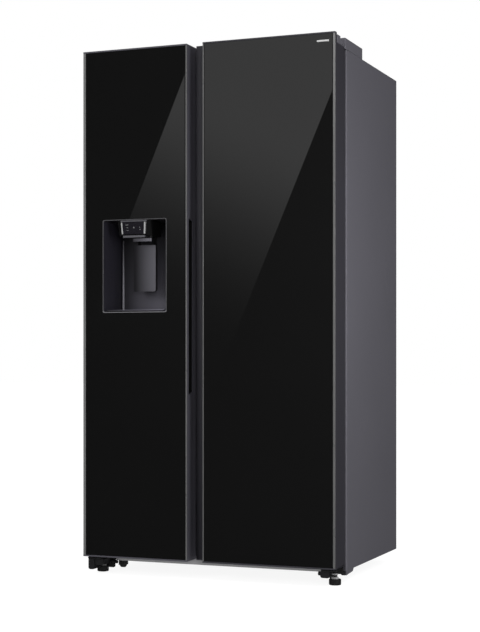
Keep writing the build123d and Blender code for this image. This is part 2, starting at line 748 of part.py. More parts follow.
def freezer_door_foam():
    """Foam slabs that fill the freezer door around the dispenser, pocket and notch."""
    free = FREEZER_FREE - SKIN
    edge = -DOOR_EDGE + SKIN
    front = DOOR_FRONT + 1 + GLASS
    back = DOOR_BACK - LINER
    low = DOOR_BOTTOM + CAP
    high = DOOR_TOP - CAP
    shelf = NOTCH_FLOOR - SKIN
    deep = FREEZER_FREE - POCKET_DEPTH - 2
    notch_x = -NOTCH_X + SKIN
    pocket_low = POCKET_LOW - POCKET_SLANT - 2
    pocket_high = POCKET_HIGH + POCKET_SLANT + 2
    cup_x = (RECESS_X[0] - RECESS_WALL, RECESS_X[1] + RECESS_WALL)
    cup_z = (RECESS_Z[0] - RECESS_WALL, RECESS_Z[1] + RECESS_WALL)
    cup_back = RECESS_BACK + RECESS_WALL
    bulge_back = RECESS_BACK + BULGE + 3
    bulge_x = (RECESS_X[0] - BULGE, RECESS_X[1] + BULGE)
    bulge_z = (RECESS_Z[0] - BULGE, RECESS_Z[1] + BULGE)
    lower = block((edge, deep), (front, back), (low, cup_z[0]))
    lower -= bush_room(-1, (low - 1, DOOR_BOTTOM + 24))
    upper = block((edge, deep), (front, back), (cup_z[1], shelf))
    upper -= bush_room(-1, (NOTCH_FLOOR - 24, shelf + 1))
    return [
        lower,
        upper,
        block((edge, cup_x[0]), (front, back), cup_z),
        block((cup_x[1], deep), (front, back), cup_z),
        block(bulge_x, (cup_back, bulge_back), bulge_z),
        block((bulge_x[0], cup_x[0]), (back, cup_back), bulge_z),
        block((cup_x[1], bulge_x[1]), (back, cup_back), bulge_z),
        block(cup_x, (back, cup_back), (cup_z[1], bulge_z[1])),
        block(cup_x, (back, cup_back), (bulge_z[0], cup_z[0])),
        block((notch_x, deep), (front, back), (shelf, high)),
        block((edge, notch_x), (front, NOTCH_FRONT - SKIN), (shelf, high)),
        block((deep, free), (front, back), (pocket_high, high)),
        block((deep, free), (front, back), (low, pocket_low)),
        block((deep, free), (front, POCKET_FRONT - 2), (pocket_low, pocket_high)),
        block((deep, free), (POCKET_BACK + 2, back), (pocket_low, pocket_high)),
    ]


def door_liner(side, ribs):
    """Moulded inner face of a door with two upright ribs that carry the bins."""
    low_x, high_x = (FRIDGE_FLANGE, DOOR_EDGE) if side > 0 else (-DOOR_EDGE, FREEZER_FREE)
    plate_y = (DOOR_BACK - LINER, DOOR_BACK)
    plate = block((low_x + SKIN, high_x - SKIN), plate_y, (DOOR_BOTTOM + CAP, DOOR_TOP - CAP))
    plate -= notch(side, SKIN)
    for rib in ribs:
        upright = block(rib, (DOOR_BACK - 1, RIB_BACK), (125.0, 1680.0))
        rear_edges = upright.edges().filter_by(Axis.Z).group_by(Axis.Y)[-1]
        plate += fillet(rear_edges, 5)
    return plate


def freezer_door_liner():
    """Inner face of the freezer door, bulged around the dispenser."""
    foam_x = (RECESS_X[0] - BULGE, RECESS_X[1] + BULGE)
    foam_z = (RECESS_Z[0] - BULGE, RECESS_Z[1] + BULGE)
    foam_back = RECESS_BACK + BULGE + 3
    bulge = block(
        (foam_x[0] - LINER, foam_x[1] + LINER),
        (DOOR_BACK - 1, foam_back + LINER),
        (foam_z[0] - LINER, foam_z[1] + LINER),
    )
    bulge = fillet(bulge.edges().group_by(Axis.Y)[-1], 1.8)
    face = door_liner(-1, FREEZER_RIBS) + bulge
    return face - block(foam_x, (DOOR_BACK - 5, foam_back), foam_z)


def gasket(x, z):
    """Magnetic seal ring on the inner face of a door."""
    width = 16.0
    y = (DOOR_BACK, CASE_FRONT - 0.3)
    ring = block(x, y, z)
    hole = block((x[0] + width, x[1] - width), (y[0] - 1, y[1] + 1), (z[0] + width, z[1] - width))
    return ring - hole


def door_bins(ribs, bins):
    """Moulded tubs that hang between the ribs of a door."""
    x = (ribs[0][1] + 0.5, ribs[1][0] - 0.5)
    tubs = []
    for low, height, depth in bins:
        tubs.append(tray(x, (DOOR_BACK + 0.3, DOOR_BACK + depth), (low, low + height), BIN_WALL))
    return tubs


def badge():
    """Blank plate near the top right of the fridge door."""
    return block((392.0, 433.0), (DOOR_FRONT, DOOR_FRONT + 1), (1761.5, 1767.0))


# ---------------------------------------------------------------- dispenser


def dispenser_housing():
    """Tapered cup moulding, open to the front."""
    x, z = RECESS_X, RECESS_Z
    wall = RECESS_WALL
    front = DOOR_FRONT + 1 + GLASS
    outside = block(
        (x[0] - wall, x[1] + wall), (front, RECESS_BACK + wall), (z[0] - wall, z[1] + wall)
    )
    centre_x = (x[0] + x[1]) / 2
    centre_z = (z[0] + z[1]) / 2
    width = x[1] - x[0]
    height = z[1] - z[0]
    sections = []
    for y, draft in ((front, 0.0), (RECESS_BACK, RECESS_DRAFT)):
        plane = Plane(origin=(centre_x, y, centre_z), x_dir=(1, 0, 0), z_dir=(0, -1, 0))
        sections.append(plane * RectangleRounded(width - 2 * draft, height - 2 * draft, 6))
    return outside - loft(sections)


def dispenser_bezel():
    """Bright ring around the mouth of the recess."""
    x = (RECESS_X[0] - BEZEL, RECESS_X[1] + BEZEL)
    z = (RECESS_Z[0] - BEZEL, RECESS_Z[1] + BEZEL)
    y = (DOOR_FRONT, DOOR_FRONT + 1 + GLASS)
    ring = fillet(block(x, y, z).edges().filter_by(Axis.Y), 7)
    hole = fillet(block(RECESS_X, (y[0] - 1, y[1] + 1), RECESS_Z).edges().filter_by(Axis.Y), 6)
    return ring - hole


def panel_piece(low_x, high_x):
    """Part of the leaning touch panel between two x values at its foot and two at its top."""
    outline = [(-354.0, PANEL_HIGH), (-342.0, PANEL_LOW), (-337.0, PANEL_LOW), (-349.0, PANEL_HIGH)]
    front = [
        (low_x[0], PANEL_LOW),
        (low_x[1], PANEL_LOW),
        (high_x[1], PANEL_HIGH),
        (high_x[0], PANEL_HIGH),
    ]
    return side_prism(outline, (-340.0, -200.0)) & front_prism(front, (-360.0, -330.0))


def dispenser_head():
    """Block under the recess ceiling that carries the panel, the chute and the lever's pivot."""
    outline = [(-350.9, 1209.4), (-335.5, HEAD_LOW), (-262.0, HEAD_LOW), (-262.0, 1203.8)]
    head = side_prism(outline, (-326.0, -204.0))
    head += block((-314.0, -216.0), (-353.0, -347.0), (PANEL_HIGH + 1.5, 1209.4))
    head += block((-311.0, -230.0), (-340.0, -333.0), (HEAD_LOW - 6, HEAD_LOW + 1))
    head -= block((CHUTE_X - 30, CHUTE_X + 30), (-325.0, -287.0), (HEAD_LOW - 1, HEAD_LOW + 20))
    x, y, z = LEVER_PIVOT
    for low, high in ((-33, -27), (27, 33)):
        head += block((x + low, x + high), (y - 4, y + 4), (z - 5, HEAD_LOW + 1))
    return head + rod(LEVER_PIN_R, (x - 28, y, z), (x + 28, y, z))


def control_panel():
    """Touch panel on the front of the head, narrower at its foot."""
    return panel_piece((-303.0, -233.0), (-307.0, -226.0))


def panel_trims():
    """Bright strips on both sides of the touch panel."""
    return [
        panel_piece((-309.0, -303.0), (-313.0, -307.0)),
        panel_piece((-233.0, -227.0), (-226.0, -220.0)),
    ]


def ice_chute():
    """Square funnel under the head that ice drops through."""
    outside = []
    for z, width, length in ((HEAD_LOW, 60.0, 40.0), (HEAD_LOW - 11, 50.0, 34.0)):
        outside.append(Pos(CHUTE_X, CHUTE_Y, z) * RectangleRounded(width, length, 6))
    hole = []
    for z, width, length in ((HEAD_LOW + 1, 55.0, 35.0), (HEAD_LOW - 12, 44.0, 28.0)):
        hole.append(Pos(CHUTE_X, CHUTE_Y, z) * RectangleRounded(width, length, 4))
    return loft(outside) - loft(hole)


def water_nozzle():
    x, y = CHUTE_X + 40, CHUTE_Y - 18
    pipe = rod(5, (x, y, HEAD_LOW - 14), (x, y, HEAD_LOW))
    return pipe - rod(3, (x, y, HEAD_LOW - 15), (x, y, HEAD_LOW - 4))


def lever():
    """Broad paddle that hangs from a pivot and is pushed back by the glass."""
    x, y, z = LEVER_PIVOT
    pad = block(LEVER_X, (y - 17, y - 11), LEVER_Z)
    pad = fillet(pad.edges().filter_by(Axis.Y), 6)
    arm = block((x - 18, x + 18), (y - 12, y), (z - 4, z + 4))
    barrel = rod(4.5, (x - 25, y, z), (x + 25, y, z))
    bore = rod(LEVER_PIN_R + PIN_FIT, (x - 26, y, z), (x + 26, y, z))
    return (pad + arm + barrel) - bore


def chute_flap():
    """Small door that closes the ice chute from below."""
    x, y, z = FLAP_PIVOT
    return block((x - 24, x + 24), (y - 42, y), (z - 3, z - 1))


def drip_tray():
    """Shallow tray at the bottom of the recess with a slotted top."""
    x = (RECESS_X[0] + 10, RECESS_X[1] - 10)
    plate = block(x, (-350.0, -300.0), (RECESS_Z[0] + 4, RECESS_Z[0] + 7))
    for slot in range(12):
        centre = x[0] + 16 + slot * 16
        plate -= block((centre, centre + 6), (-342.0, -308.0), (RECESS_Z[0] + 5, RECESS_Z[0] + 8))
    return plate


# ---------------------------------------------------------------- drawers


def drawer(space, z, back):
    """Open drawer with a thick front and a finger slot near its top edge."""
    x = (space[0] + LEDGE + 1, space[1] - LEDGE - 1)
    body = tray(x, (DRAWER_FRONT, back), z, DRAWER_WALL)
    body += block(x, (DRAWER_FRONT, DRAWER_FRONT + DRAWER_FACE), z)
    middle = (x[0] + x[1]) / 2
    slot_y = (DRAWER_FRONT - 1, DRAWER_FRONT + DRAWER_FACE - 4)
    return body - block((middle - 70, middle + 70), slot_y, (z[1] - 34, z[1] - 12))


def save_cabinet():
    save("outer_case", outer_case())
    save("back_panel", back_panel(), machine_cover())
    save("front_flange", front_flange())
    save("insulation_foam", *insulation())
    save("freezer_liner", liner(FREEZER_X, FREEZER_SHELVES, FREEZER_SHELF_BACK))
    save("fridge_liner", liner(FRIDGE_X, FRIDGE_SHELVES, FRIDGE_SHELF_BACK))
    freezer_plates = shelf_glass(FREEZER_X, FREEZER_SHELVES, FREEZER_SHELF_BACK)
    fridge_plates = shelf_glass(FRIDGE_X, FRIDGE_SHELVES, FRIDGE_SHELF_BACK)
    save("shelf_glass", *freezer_plates, *fridge_plates)
    freezer_rails = shelf_trims(FREEZER_X, FREEZER_SHELVES)
    fridge_rails = shelf_trims(FRIDGE_X, FRIDGE_SHELVES)
    save("shelf_trims", *freezer_rails, *fridge_rails)
    save("duct_covers", evaporator_cover(), duct_cover())
    save("evaporator_coil", evaporator_coil())
    save("interior_lamps", *lamps())
    save("ice_maker", ice_maker(), ice_bucket())
    save("base_frame", *base_frame())
    save("kick_plate", kick_plate())
    save("power_inlet", cord_inlet())


def save_machine():
    save("compressor", compressor())
    save("condenser_coil", condenser(), *pipes())
    save("machine_mouldings", drain_pan(), fan_shroud(), *fan_motors())
    save("evaporator_fan", evaporator_fan())
    save("condenser_fan", condenser_fan())


def save_hinges_and_feet():
    hinge = top_hinge()
    save("top_hinges", hinge, mirrored(hinge), *hinge_screws())
    cover = hinge_cover()
    save("hinge_covers", cover, mirrored(cover))
    bracket = bottom_hinge()
    save("bottom_hinges", bracket, mirrored(bracket))
    covers = [
        leg_cover((397.0, 428.0), (-340.0, -312.0), 31.0),
        leg_cover((-438.0, -421.0), (-340.0, -290.0), 18.0),
        leg_cover((-420.7, -388.0), (-336.0, -290.0), 30.0),
    ]
    bolts = [leg_bolt((391.0, -322.0, 43.0), 7, 6), leg_bolt((-384.5, -261.2, 33.5), 6, 14.5)]
    rails = [side_rail(side) for side in (-1, 1)]
    save("leg_brackets", *covers, *rails, *bolts)
    brackets = []
    for side, name in ((-1, "left"), (1, "right")):
        save(f"foot_{name}", foot(side))
        save(f"roller_front_{name}", roller(side, FRONT_ROLLER))
        save(f"roller_rear_{name}", roller(side, REAR_ROLLER))
        brackets.append(roller_bracket(side, FRONT_ROLLER))
        brackets.append(roller_bracket(side, REAR_ROLLER))
    save("roller_brackets", *brackets)


def save_doors():
    save("freezer_door_glass", freezer_glass())
    save("freezer_door_trims", *edge_trims(-DOOR_EDGE, FREEZER_FREE, TRIM_OUTER, TRIM_INNER))
    save("freezer_door_shell", door_shell(-1), *door_caps(-1))
    save("freezer_door_foam", *freezer_door_foam())
    save("freezer_door_liner", freezer_door_liner())
    save("freezer_door_gasket", gasket((-432.0, -72.0), GASKET_Z))
    save("freezer_door_bins", *door_bins(FREEZER_RIBS, FREEZER_BINS))
    save("freezer_handle_pocket", handle_pocket(-1))
    save("fridge_door_glass", fridge_glass())
    save("fridge_door_trims", *edge_trims(FRIDGE_FREE, DOOR_EDGE, TRIM_INNER, TRIM_OUTER))
    save("fridge_door_shell", door_shell(1), *door_caps(1))
    save("fridge_door_foam", *fridge_door_foam())
    save("fridge_door_liner", door_liner(1, FRIDGE_RIBS))
    save("fridge_door_gasket", gasket((-48.0, 432.0), GASKET_Z))
    save("fridge_door_bins", *door_bins(FRIDGE_RIBS, FRIDGE_BINS))
    save("fridge_handle_pocket", handle_pocket(1))
    save("badge_plate", badge())


def save_dispenser():
    save("dispenser_housing", dispenser_housing())
    save("dispenser_trims", dispenser_bezel(), *panel_trims())
    save("dispenser_head", dispenser_head())
    save("dispenser_panel", control_panel())
    save("ice_chute", ice_chute(), water_nozzle())
    save("drip_tray", drip_tray())
    save("dispenser_lever", lever())
    save("chute_flap", chute_flap())


def save_drawers():
    for name, space in (("freezer", FREEZER_X), ("fridge", FRIDGE_X)):
        back = FREEZER_SHELF_BACK if name == "freezer" else FRIDGE_SHELF_BACK
        save(f"{name}_drawer_lower", drawer(space, LOWER_DRAWER_Z, STEP_Y - 5))
        save(f"{name}_drawer_upper", drawer(space, UPPER_DRAWER_Z, back))


os.makedirs("parts", exist_ok=True)
save_cabinet()
save_machine()
save_hinges_and_feet()
save_doors()
save_dispenser()
save_drawers()
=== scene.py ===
import json
import math

import bmesh
import bpy
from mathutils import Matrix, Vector

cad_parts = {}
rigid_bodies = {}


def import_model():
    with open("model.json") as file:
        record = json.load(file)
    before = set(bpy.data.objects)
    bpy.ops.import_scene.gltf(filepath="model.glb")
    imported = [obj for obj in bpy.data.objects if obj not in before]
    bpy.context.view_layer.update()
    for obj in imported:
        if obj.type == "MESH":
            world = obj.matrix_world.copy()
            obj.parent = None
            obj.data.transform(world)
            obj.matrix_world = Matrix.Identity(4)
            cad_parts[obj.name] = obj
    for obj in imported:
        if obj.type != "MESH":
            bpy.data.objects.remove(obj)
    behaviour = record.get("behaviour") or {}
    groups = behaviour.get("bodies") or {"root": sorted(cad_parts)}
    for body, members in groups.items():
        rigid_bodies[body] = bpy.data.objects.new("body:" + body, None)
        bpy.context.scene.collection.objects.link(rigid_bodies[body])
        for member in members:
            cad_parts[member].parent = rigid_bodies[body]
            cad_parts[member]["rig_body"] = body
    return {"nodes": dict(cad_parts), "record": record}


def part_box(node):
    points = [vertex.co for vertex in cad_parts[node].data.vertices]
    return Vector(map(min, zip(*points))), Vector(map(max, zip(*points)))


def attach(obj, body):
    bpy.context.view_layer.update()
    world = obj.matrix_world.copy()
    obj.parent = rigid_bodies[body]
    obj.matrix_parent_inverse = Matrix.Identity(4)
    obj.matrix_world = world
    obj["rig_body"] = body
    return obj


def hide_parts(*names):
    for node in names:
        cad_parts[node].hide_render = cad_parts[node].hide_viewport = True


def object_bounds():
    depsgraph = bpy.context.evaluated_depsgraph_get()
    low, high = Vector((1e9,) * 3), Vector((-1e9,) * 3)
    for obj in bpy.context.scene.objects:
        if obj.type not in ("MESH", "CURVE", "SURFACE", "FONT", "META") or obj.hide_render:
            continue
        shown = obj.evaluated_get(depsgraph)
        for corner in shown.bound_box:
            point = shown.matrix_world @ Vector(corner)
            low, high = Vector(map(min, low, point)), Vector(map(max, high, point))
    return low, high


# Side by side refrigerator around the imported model. Metres, +Z up, +Y to the back.
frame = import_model()
cad_low, cad_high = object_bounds()

MM = 0.001
NODES = frame["nodes"]
SLOT_OF = {row["node"]: row["material_slot"] for row in frame["record"]["subparts"]}
SCENE = bpy.context.scene


def add_object(name, data):
    """New object in the scene."""
    thing = bpy.data.objects.new(name, data)
    SCENE.collection.objects.link(thing)
    return thing


# ---------------------------------------------------------------- camera and stage

CAMERA_PLACE = (1.9287, -4.8919, 0.7531)
CAMERA_LEVEL = math.radians(90)
CAMERA_TURN = math.radians(21.689)
CAMERA_LENS = 84.466
CAMERA_SENSOR = 36.0
CAMERA_SHIFT = 0.0613

FLOOR_SIZE = 30.0
FLOOR_GREY = 0.16
FLOOR_GLOW = 0.90
FLOOR_ROUGHNESS = 0.9

# The slanted softbox that the door glass mirrors, on a plane behind the camera. Its left and
# right edges are given at CARD_LEVEL and move by CARD_SLOPE for each metre of height.
CARD_Y = -6.0
CARD_SLOPE = 0.43
CARD_TOP = 4.2
CARD_BOTTOM = 0.2
CARD_LEFT = -2.61
CARD_RIGHT = -1.365
CARD_LEVEL = 2.75
CARD_BRIGHT_Z = 2.30
CARD_DIM_Z = 1.30
CARD_FADE_LENGTH = 0.80
CARD_STRENGTH = 0.82

LIGHTS = (
    # name, place, target, size, power in watts
    ("key_light", (-2.3, -5.2, 2.9), (-0.2, -0.3, 1.0), (1.4, 2.0), 110),
    ("side_light", (4.2, -1.6, 1.3), (0.45, 0.0, 1.0), (1.6, 2.4), 40),
    ("edge_light", (1.25, -0.95, 1.1), (0.456, -0.2, 1.05), (0.3, 0.5), 12),
    ("fill_light", (2.4, -4.8, 1.4), (-0.05, -0.35, 0.9), (0.9, 1.4), 90),
)


def make_camera():
    data = bpy.data.cameras.new("camera")
    data.sensor_width = CAMERA_SENSOR
    data.lens = CAMERA_LENS
    data.shift_y = CAMERA_SHIFT
    camera = add_object("camera", data)
    camera.location = CAMERA_PLACE
    camera.rotation_euler = (CAMERA_LEVEL, 0, CAMERA_TURN)
    SCENE.camera = camera


def make_world():
    """White studio. Its light is diffuse only, so that the black glass stays black."""
    world = bpy.data.worlds.new("studio")
    world.use_nodes = True
    background = world.node_tree.nodes["Background"]
    background.inputs["Color"].default_value = (1, 1, 1, 1)
    background.inputs["Strength"].default_value = 1.0
    world.cycles_visibility.glossy = False
    SCENE.world = world
    SCENE.view_settings.view_transform = "Standard"
    SCENE.view_settings.look = "None"


def make_floor():
    """Plain floor that glows, so that it comes out as pale as the studio."""
    bm = bmesh.new()
    bmesh.ops.create_grid(bm, x_segments=8, y_segments=8, size=FLOOR_SIZE)
    mesh = bpy.data.meshes.new("floor")
    bm.to_mesh(mesh)
    bm.free()
    floor = add_object("floor", mesh)
    floor.location = (0, 0, cad_low.z)
    material = bpy.data.materials.new("floor")
    material.use_nodes = True
    shader = material.node_tree.nodes["Principled BSDF"]
    shader.inputs["Base Color"].default_value = (FLOOR_GREY, FLOOR_GREY, FLOOR_GREY, 1)
    shader.inputs["Emission Color"].default_value = (1, 1, 1, 1)
    shader.inputs["Emission Strength"].default_value = FLOOR_GLOW
    shader.inputs["Roughness"].default_value = FLOOR_ROUGHNESS
    shader.inputs["Specular IOR Level"].default_value = 0.0
    mesh.materials.append(material)
    floor.visible_glossy = False


def make_light(name, place, target, size, power):
    data = bpy.data.lights.new(name, "AREA")
    data.shape = "RECTANGLE"
    data.size, data.size_y = size
    data.energy = power
    light = add_object(name, data)
    light.location = place
    aim = Vector(target) - Vector(place)
    light.rotation_euler = aim.to_track_quat("-Z", "Y").to_euler()
    light.visible_camera = False
    light.visible_glossy = False


def math_chain(tree, socket, steps):
    """Run a value through math nodes, one for each (operation, second number) in steps."""
    for operation, number in steps:
        node = tree.nodes.new("ShaderNodeMath")
        node.operation = operation
        if number is not None:
            node.inputs[1].default_value = number
        tree.links.new(socket, node.inputs[0])
        socket = node.outputs[0]
    return socket


def card_corner(x_at_level, z):
    return (x_at_level + (z - CARD_LEVEL) * CARD_SLOPE, CARD_Y, z)


def make_card(name):
    """Bright card that only shows in reflections. It dims downwards along its right edge."""
    corners = [
        card_corner(CARD_LEFT, CARD_BOTTOM), card_corner(CARD_RIGHT, CARD_BOTTOM),
        card_corner(CARD_RIGHT, CARD_TOP), card_corner(CARD_LEFT, CARD_TOP),
    ]
    mesh = bpy.data.meshes.new(name)
    mesh.from_pydata([Vector(c) for c in corners], [], [(0, 1, 2, 3)])
    card = add_object(name, mesh)
    material = bpy.data.materials.new(name)
    material.use_nodes = True
    tree = material.node_tree
    tree.nodes.clear()
    output = tree.nodes.new("ShaderNodeOutputMaterial")
    emission = tree.nodes.new("ShaderNodeEmission")
    where = tree.nodes.new("ShaderNodeTexCoord")
    start = Vector(card_corner(CARD_RIGHT, CARD_BRIGHT_Z))
    along = (Vector(card_corner(CARD_RIGHT, CARD_DIM_Z)) - start).normalized()
    offset = tree.nodes.new("ShaderNodeVectorMath")
    offset.operation = "SUBTRACT"
    offset.inputs[1].default_value = start
    distance = tree.nodes.new("ShaderNodeVectorMath")
    distance.operation = "DOT_PRODUCT"
    distance.inputs[1].default_value = along
    link = tree.links.new
    link(where.outputs["Object"], offset.inputs[0])
    link(offset.outputs["Vector"], distance.inputs[0])
    # Strength times exp(-share squared), where share is the distance past the start
    brightness = math_chain(tree, distance.outputs["Value"], (
        ("DIVIDE", CARD_FADE_LENGTH), ("MAXIMUM", 0.0), ("POWER", 2.0), ("MULTIPLY", -1.0),
        ("EXPONENT", None), ("MULTIPLY", CARD_STRENGTH),
    ))
    link(brightness, emission.inputs["Strength"])
    link(emission.outputs[0], output.inputs["Surface"])
    mesh.materials.append(material)
    card.visible_camera = False
    card.visible_diffuse = False
    card.visible_shadow = False
    card.visible_transmission = False


make_camera()
make_world()
make_floor()
make_card("softbox_card")
for light in LIGHTS:
    make_light(*light)


# ---------------------------------------------------------------- materials

# The part of a noise's range that holds nearly all its values
NOISE_RANGE = (0.3, 0.7)
BUMP_STRENGTH = 0.6
FINISH = {}


def finish(
    name, dark, light, blotch, rough, grain, depth,
    stretch=(1, 1, 1), kind="noise", fades=(), **sockets,
):
    """Procedural finish: slow colour change, uneven gloss and a fine surface structure.

    dark and light are the two colours that a broad noise of scale blotch mixes, rough the
    lowest and highest roughness, grain the scale of the fine structure and depth its height
    in metres. stretch makes brushed or drawn surfaces. fades holds (axis, start, end, colour):
    the surface has that colour up to the start and its own from the end. The rest are
    constant sockets. The material is kept in FINISH.
    """
    material = bpy.data.materials.new(name)
    material.use_nodes = True
    tree = material.node_tree
    link = tree.links.new
    shader = tree.nodes["Principled BSDF"]
    for socket, value in sockets.items():
        shader.inputs[socket.replace("_", " ")].default_value = value
    where = tree.nodes.new("ShaderNodeTexCoord")
    mapping = tree.nodes.new("ShaderNodeMapping")
    mapping.inputs["Scale"].default_value = stretch
    broad = tree.nodes.new("ShaderNodeTexNoise")
    broad.inputs["Scale"].default_value = blotch
    broad.inputs["Detail"].default_value = 3.0
    mix = tree.nodes.new("ShaderNodeMix")
    mix.data_type = "RGBA"
    mix.inputs["A"].default_value = (*dark, 1)
    mix.inputs["B"].default_value = (*light, 1)
    gloss = tree.nodes.new("ShaderNodeMapRange")
    gloss.inputs["From Min"].default_value = NOISE_RANGE[0]
    gloss.inputs["From Max"].default_value = NOISE_RANGE[1]
    gloss.inputs["To Min"].default_value = rough[0]
    gloss.inputs["To Max"].default_value = rough[1]
    if kind == "cells":
        fine = tree.nodes.new("ShaderNodeTexVoronoi")
        height = fine.outputs["Distance"]
    else:
        fine = tree.nodes.new("ShaderNodeTexNoise")
        fine.inputs["Detail"].default_value = 2.0
        height = fine.outputs["Fac"]
    fine.inputs["Scale"].default_value = grain
    bump = tree.nodes.new("ShaderNodeBump")
    bump.inputs["Strength"].default_value = BUMP_STRENGTH
    bump.inputs["Distance"].default_value = depth
    link(where.outputs["Object"], mapping.inputs["Vector"])
    link(where.outputs["Object"], broad.inputs["Vector"])
    link(mapping.outputs["Vector"], fine.inputs["Vector"])
    link(broad.outputs["Fac"], mix.inputs["Factor"])
    colour = mix.outputs["Result"]
    for axis, start, end, tint in fades:
        split = tree.nodes.new("ShaderNodeSeparateXYZ")
        share = tree.nodes.new("ShaderNodeMapRange")
        share.inputs["From Min"].default_value = start
        share.inputs["From Max"].default_value = end
        blend = tree.nodes.new("ShaderNodeMix")
        blend.data_type = "RGBA"
        blend.inputs["A"].default_value = (*tint, 1)
        link(where.outputs["Object"], split.inputs["Vector"])
        link(split.outputs[axis], share.inputs["Value"])
        link(share.outputs["Result"], blend.inputs["Factor"])
        link(colour, blend.inputs["B"])
        colour = blend.outputs["Result"]
    link(colour, shader.inputs["Base Color"])
    link(broad.outputs["Fac"], gloss.inputs["Value"])
    link(gloss.outputs["Result"], shader.inputs["Roughness"])
    link(height, bump.inputs["Height"])
    link(bump.outputs["Normal"], shader.inputs["Normal"])
    FINISH[name] = material


def grey(value, blue=1.0):
    """Near-neutral colour with a slightly stronger blue and, by a fifth of that, less green."""
    return (value, value * (1.2 - 0.2 * blue), value * blue)


# Grain of strips and rods that are brushed along X, Y or Z
ALONG_X = (0.02, 1, 1)
ALONG_Y = (1, 0.02, 1)
ALONG_Z = (1, 1, 0.02)

# Where a finish fades, from its other colour to its own, as places in the shared frame
RING_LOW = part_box("dispenser_trims")[0].z
RING_FADE_Z = (RING_LOW + 4 * MM, RING_LOW + 9 * MM)
# Painted shade in the recess: darker towards its top under the head, and towards its left
RECESS_SHADE_Z = (1.19, 0.93)
RECESS_SHADE_X = (-0.400, -0.175)
# Painted shade at the top of the recess bead
BEAD_SHADE_Z = (1.16, 0.98)
# Painted shade on the lever and the chute lip, darker towards their left
LEVER_SHADE_X = (-0.290, -0.192)
# Painted highlight towards the top of the right door's outer trim
RIGHT_TRIM_HIGHLIGHT_Z = (1.76, 1.40)
# Painted light at the back of the left door's side, in the middle gap
LEFT_DOOR_LIGHT_Y = (-0.27, -0.31)

# One finish for each material slot
finish("black_glass", grey(0.0034), grey(0.0040), 3, (0.0, 0.004), 12, 1e-6, IOR=1.5)
finish(
    "edge_trim", grey(0.12), grey(0.15), 8, (0.26, 0.34), 900, 6e-6,
    stretch=ALONG_Z, Metallic=0.35, Anisotropic=0.4,
)
finish(
    "case_paint", grey(0.062, 1.13), grey(0.067, 1.14), 2.5, (0.44, 0.5), 700, 1.2e-5,
    Specular_IOR_Level=0.45,
)
finish("door_paint", grey(0.021, 1.16), grey(0.025, 1.18), 2.5, (0.34, 0.4), 800, 8e-6)
finish("face_steel", grey(0.045, 1.08), grey(0.055, 1.08), 3, (0.38, 0.46), 700, 8e-6)
finish(
    "rear_steel", grey(0.30), grey(0.40), 14, (0.38, 0.55), 60, 3e-5, kind="cells", Metallic=0.7
)
finish("foam", (0.62, 0.55, 0.36), (0.74, 0.68, 0.48), 20, (0.8, 0.95), 300, 3e-4)
finish("liner_white", grey(0.74, 1.01), grey(0.79, 1.01), 2, (0.24, 0.34), 500, 6e-6)
finish(
    "shelf_glass", (0.86, 0.93, 0.91), (0.92, 0.97, 0.95), 3, (0.0, 0.03), 15, 1e-6,
    Transmission_Weight=0.92, IOR=1.5,
)
finish(
    "fitting_trim", grey(0.5), grey(0.58), 10, (0.26, 0.34), 900, 6e-6,
    stretch=ALONG_X, Metallic=0.8, Anisotropic=0.5,
)
finish(
    "coil_aluminium", grey(0.48), grey(0.6), 30, (0.3, 0.45), 600, 2e-5,
    stretch=(1, 1, 0.1), Metallic=0.9,
)
finish(
    "lamp_lens", grey(0.85), grey(0.92), 10, (0.3, 0.4), 300, 1e-4,
    stretch=ALONG_Y, Emission_Color=(1, 0.98, 0.94, 1), Emission_Strength=1.2,
)
finish("fitting_grey", grey(0.52, 1.03), grey(0.58, 1.03), 6, (0.32, 0.42), 900, 1.5e-5)
finish("chassis_steel", grey(0.035), grey(0.06), 25, (0.42, 0.6), 500, 2e-5, Metallic=0.4)
# Pale grey of the kick plate, partly its own and partly painted light that makes up for the shade
# under the doors
finish("kick_grey", grey(0.25, 1.02), grey(0.29, 1.02), 6, (0.4, 0.5), 900, 1e-5)
finish("black_plastic", grey(0.008, 1.05), grey(0.012, 1.05), 12, (0.38, 0.5), 1400, 2e-5)
finish("compressor_black", grey(0.012), grey(0.02), 20, (0.28, 0.4), 500, 2e-5)
finish("hinge_steel", grey(0.3), grey(0.42), 40, (0.34, 0.5), 500, 1e-5, Metallic=0.85)
finish("cover_plastic", grey(0.062, 1.13), grey(0.070, 1.13), 5, (0.42, 0.5), 1200, 2e-5)
finish("bracket_black", grey(0.010), grey(0.018), 30, (0.36, 0.5), 600, 1e-5, Metallic=0.2)
finish("gasket_grey", grey(0.05), grey(0.065), 12, (0.5, 0.62), 900, 2e-5)
finish(
    "clear_bin", (0.88, 0.94, 0.96), (0.94, 0.98, 1.0), 5, (0.04, 0.1), 200, 4e-6,
    Transmission_Weight=0.9, IOR=1.45,
)
# Recess grey, darkened towards the top and the left by painted shade
finish(
    "dispenser_grey", grey(0.095, 1.18), grey(0.105, 1.2), 8, (0.34, 0.42), 1200, 1.2e-5,
    fades=(("Z", *RECESS_SHADE_Z, grey(0.006, 1.1)), ("X", *RECESS_SHADE_X, grey(0.004, 1.1))),
)
finish(
    "panel_gloss", grey(0.006, 1.2), grey(0.009, 1.2), 6, (0.05, 0.1), 40, 1e-6, Coat_Weight=0.4
)
# Brushed lever metal, darkened towards the left by painted shade
finish(
    "lever_metal", grey(0.17, 1.12), grey(0.20, 1.12), 14, (0.3, 0.4), 60, 1.2e-4,
    stretch=(0.12, 1, 1), fades=(("X", *LEVER_SHADE_X, grey(0.02, 1.12)),), Metallic=0.5,
)
finish("fan_plastic", grey(0.5), grey(0.56), 20, (0.35, 0.45), 900, 1e-5)
finish("roller_plastic", grey(0.012), grey(0.02), 40, (0.45, 0.6), 900, 3e-5)
finish("foot_plastic", grey(0.008), grey(0.013), 40, (0.35, 0.5), 900, 3e-5)

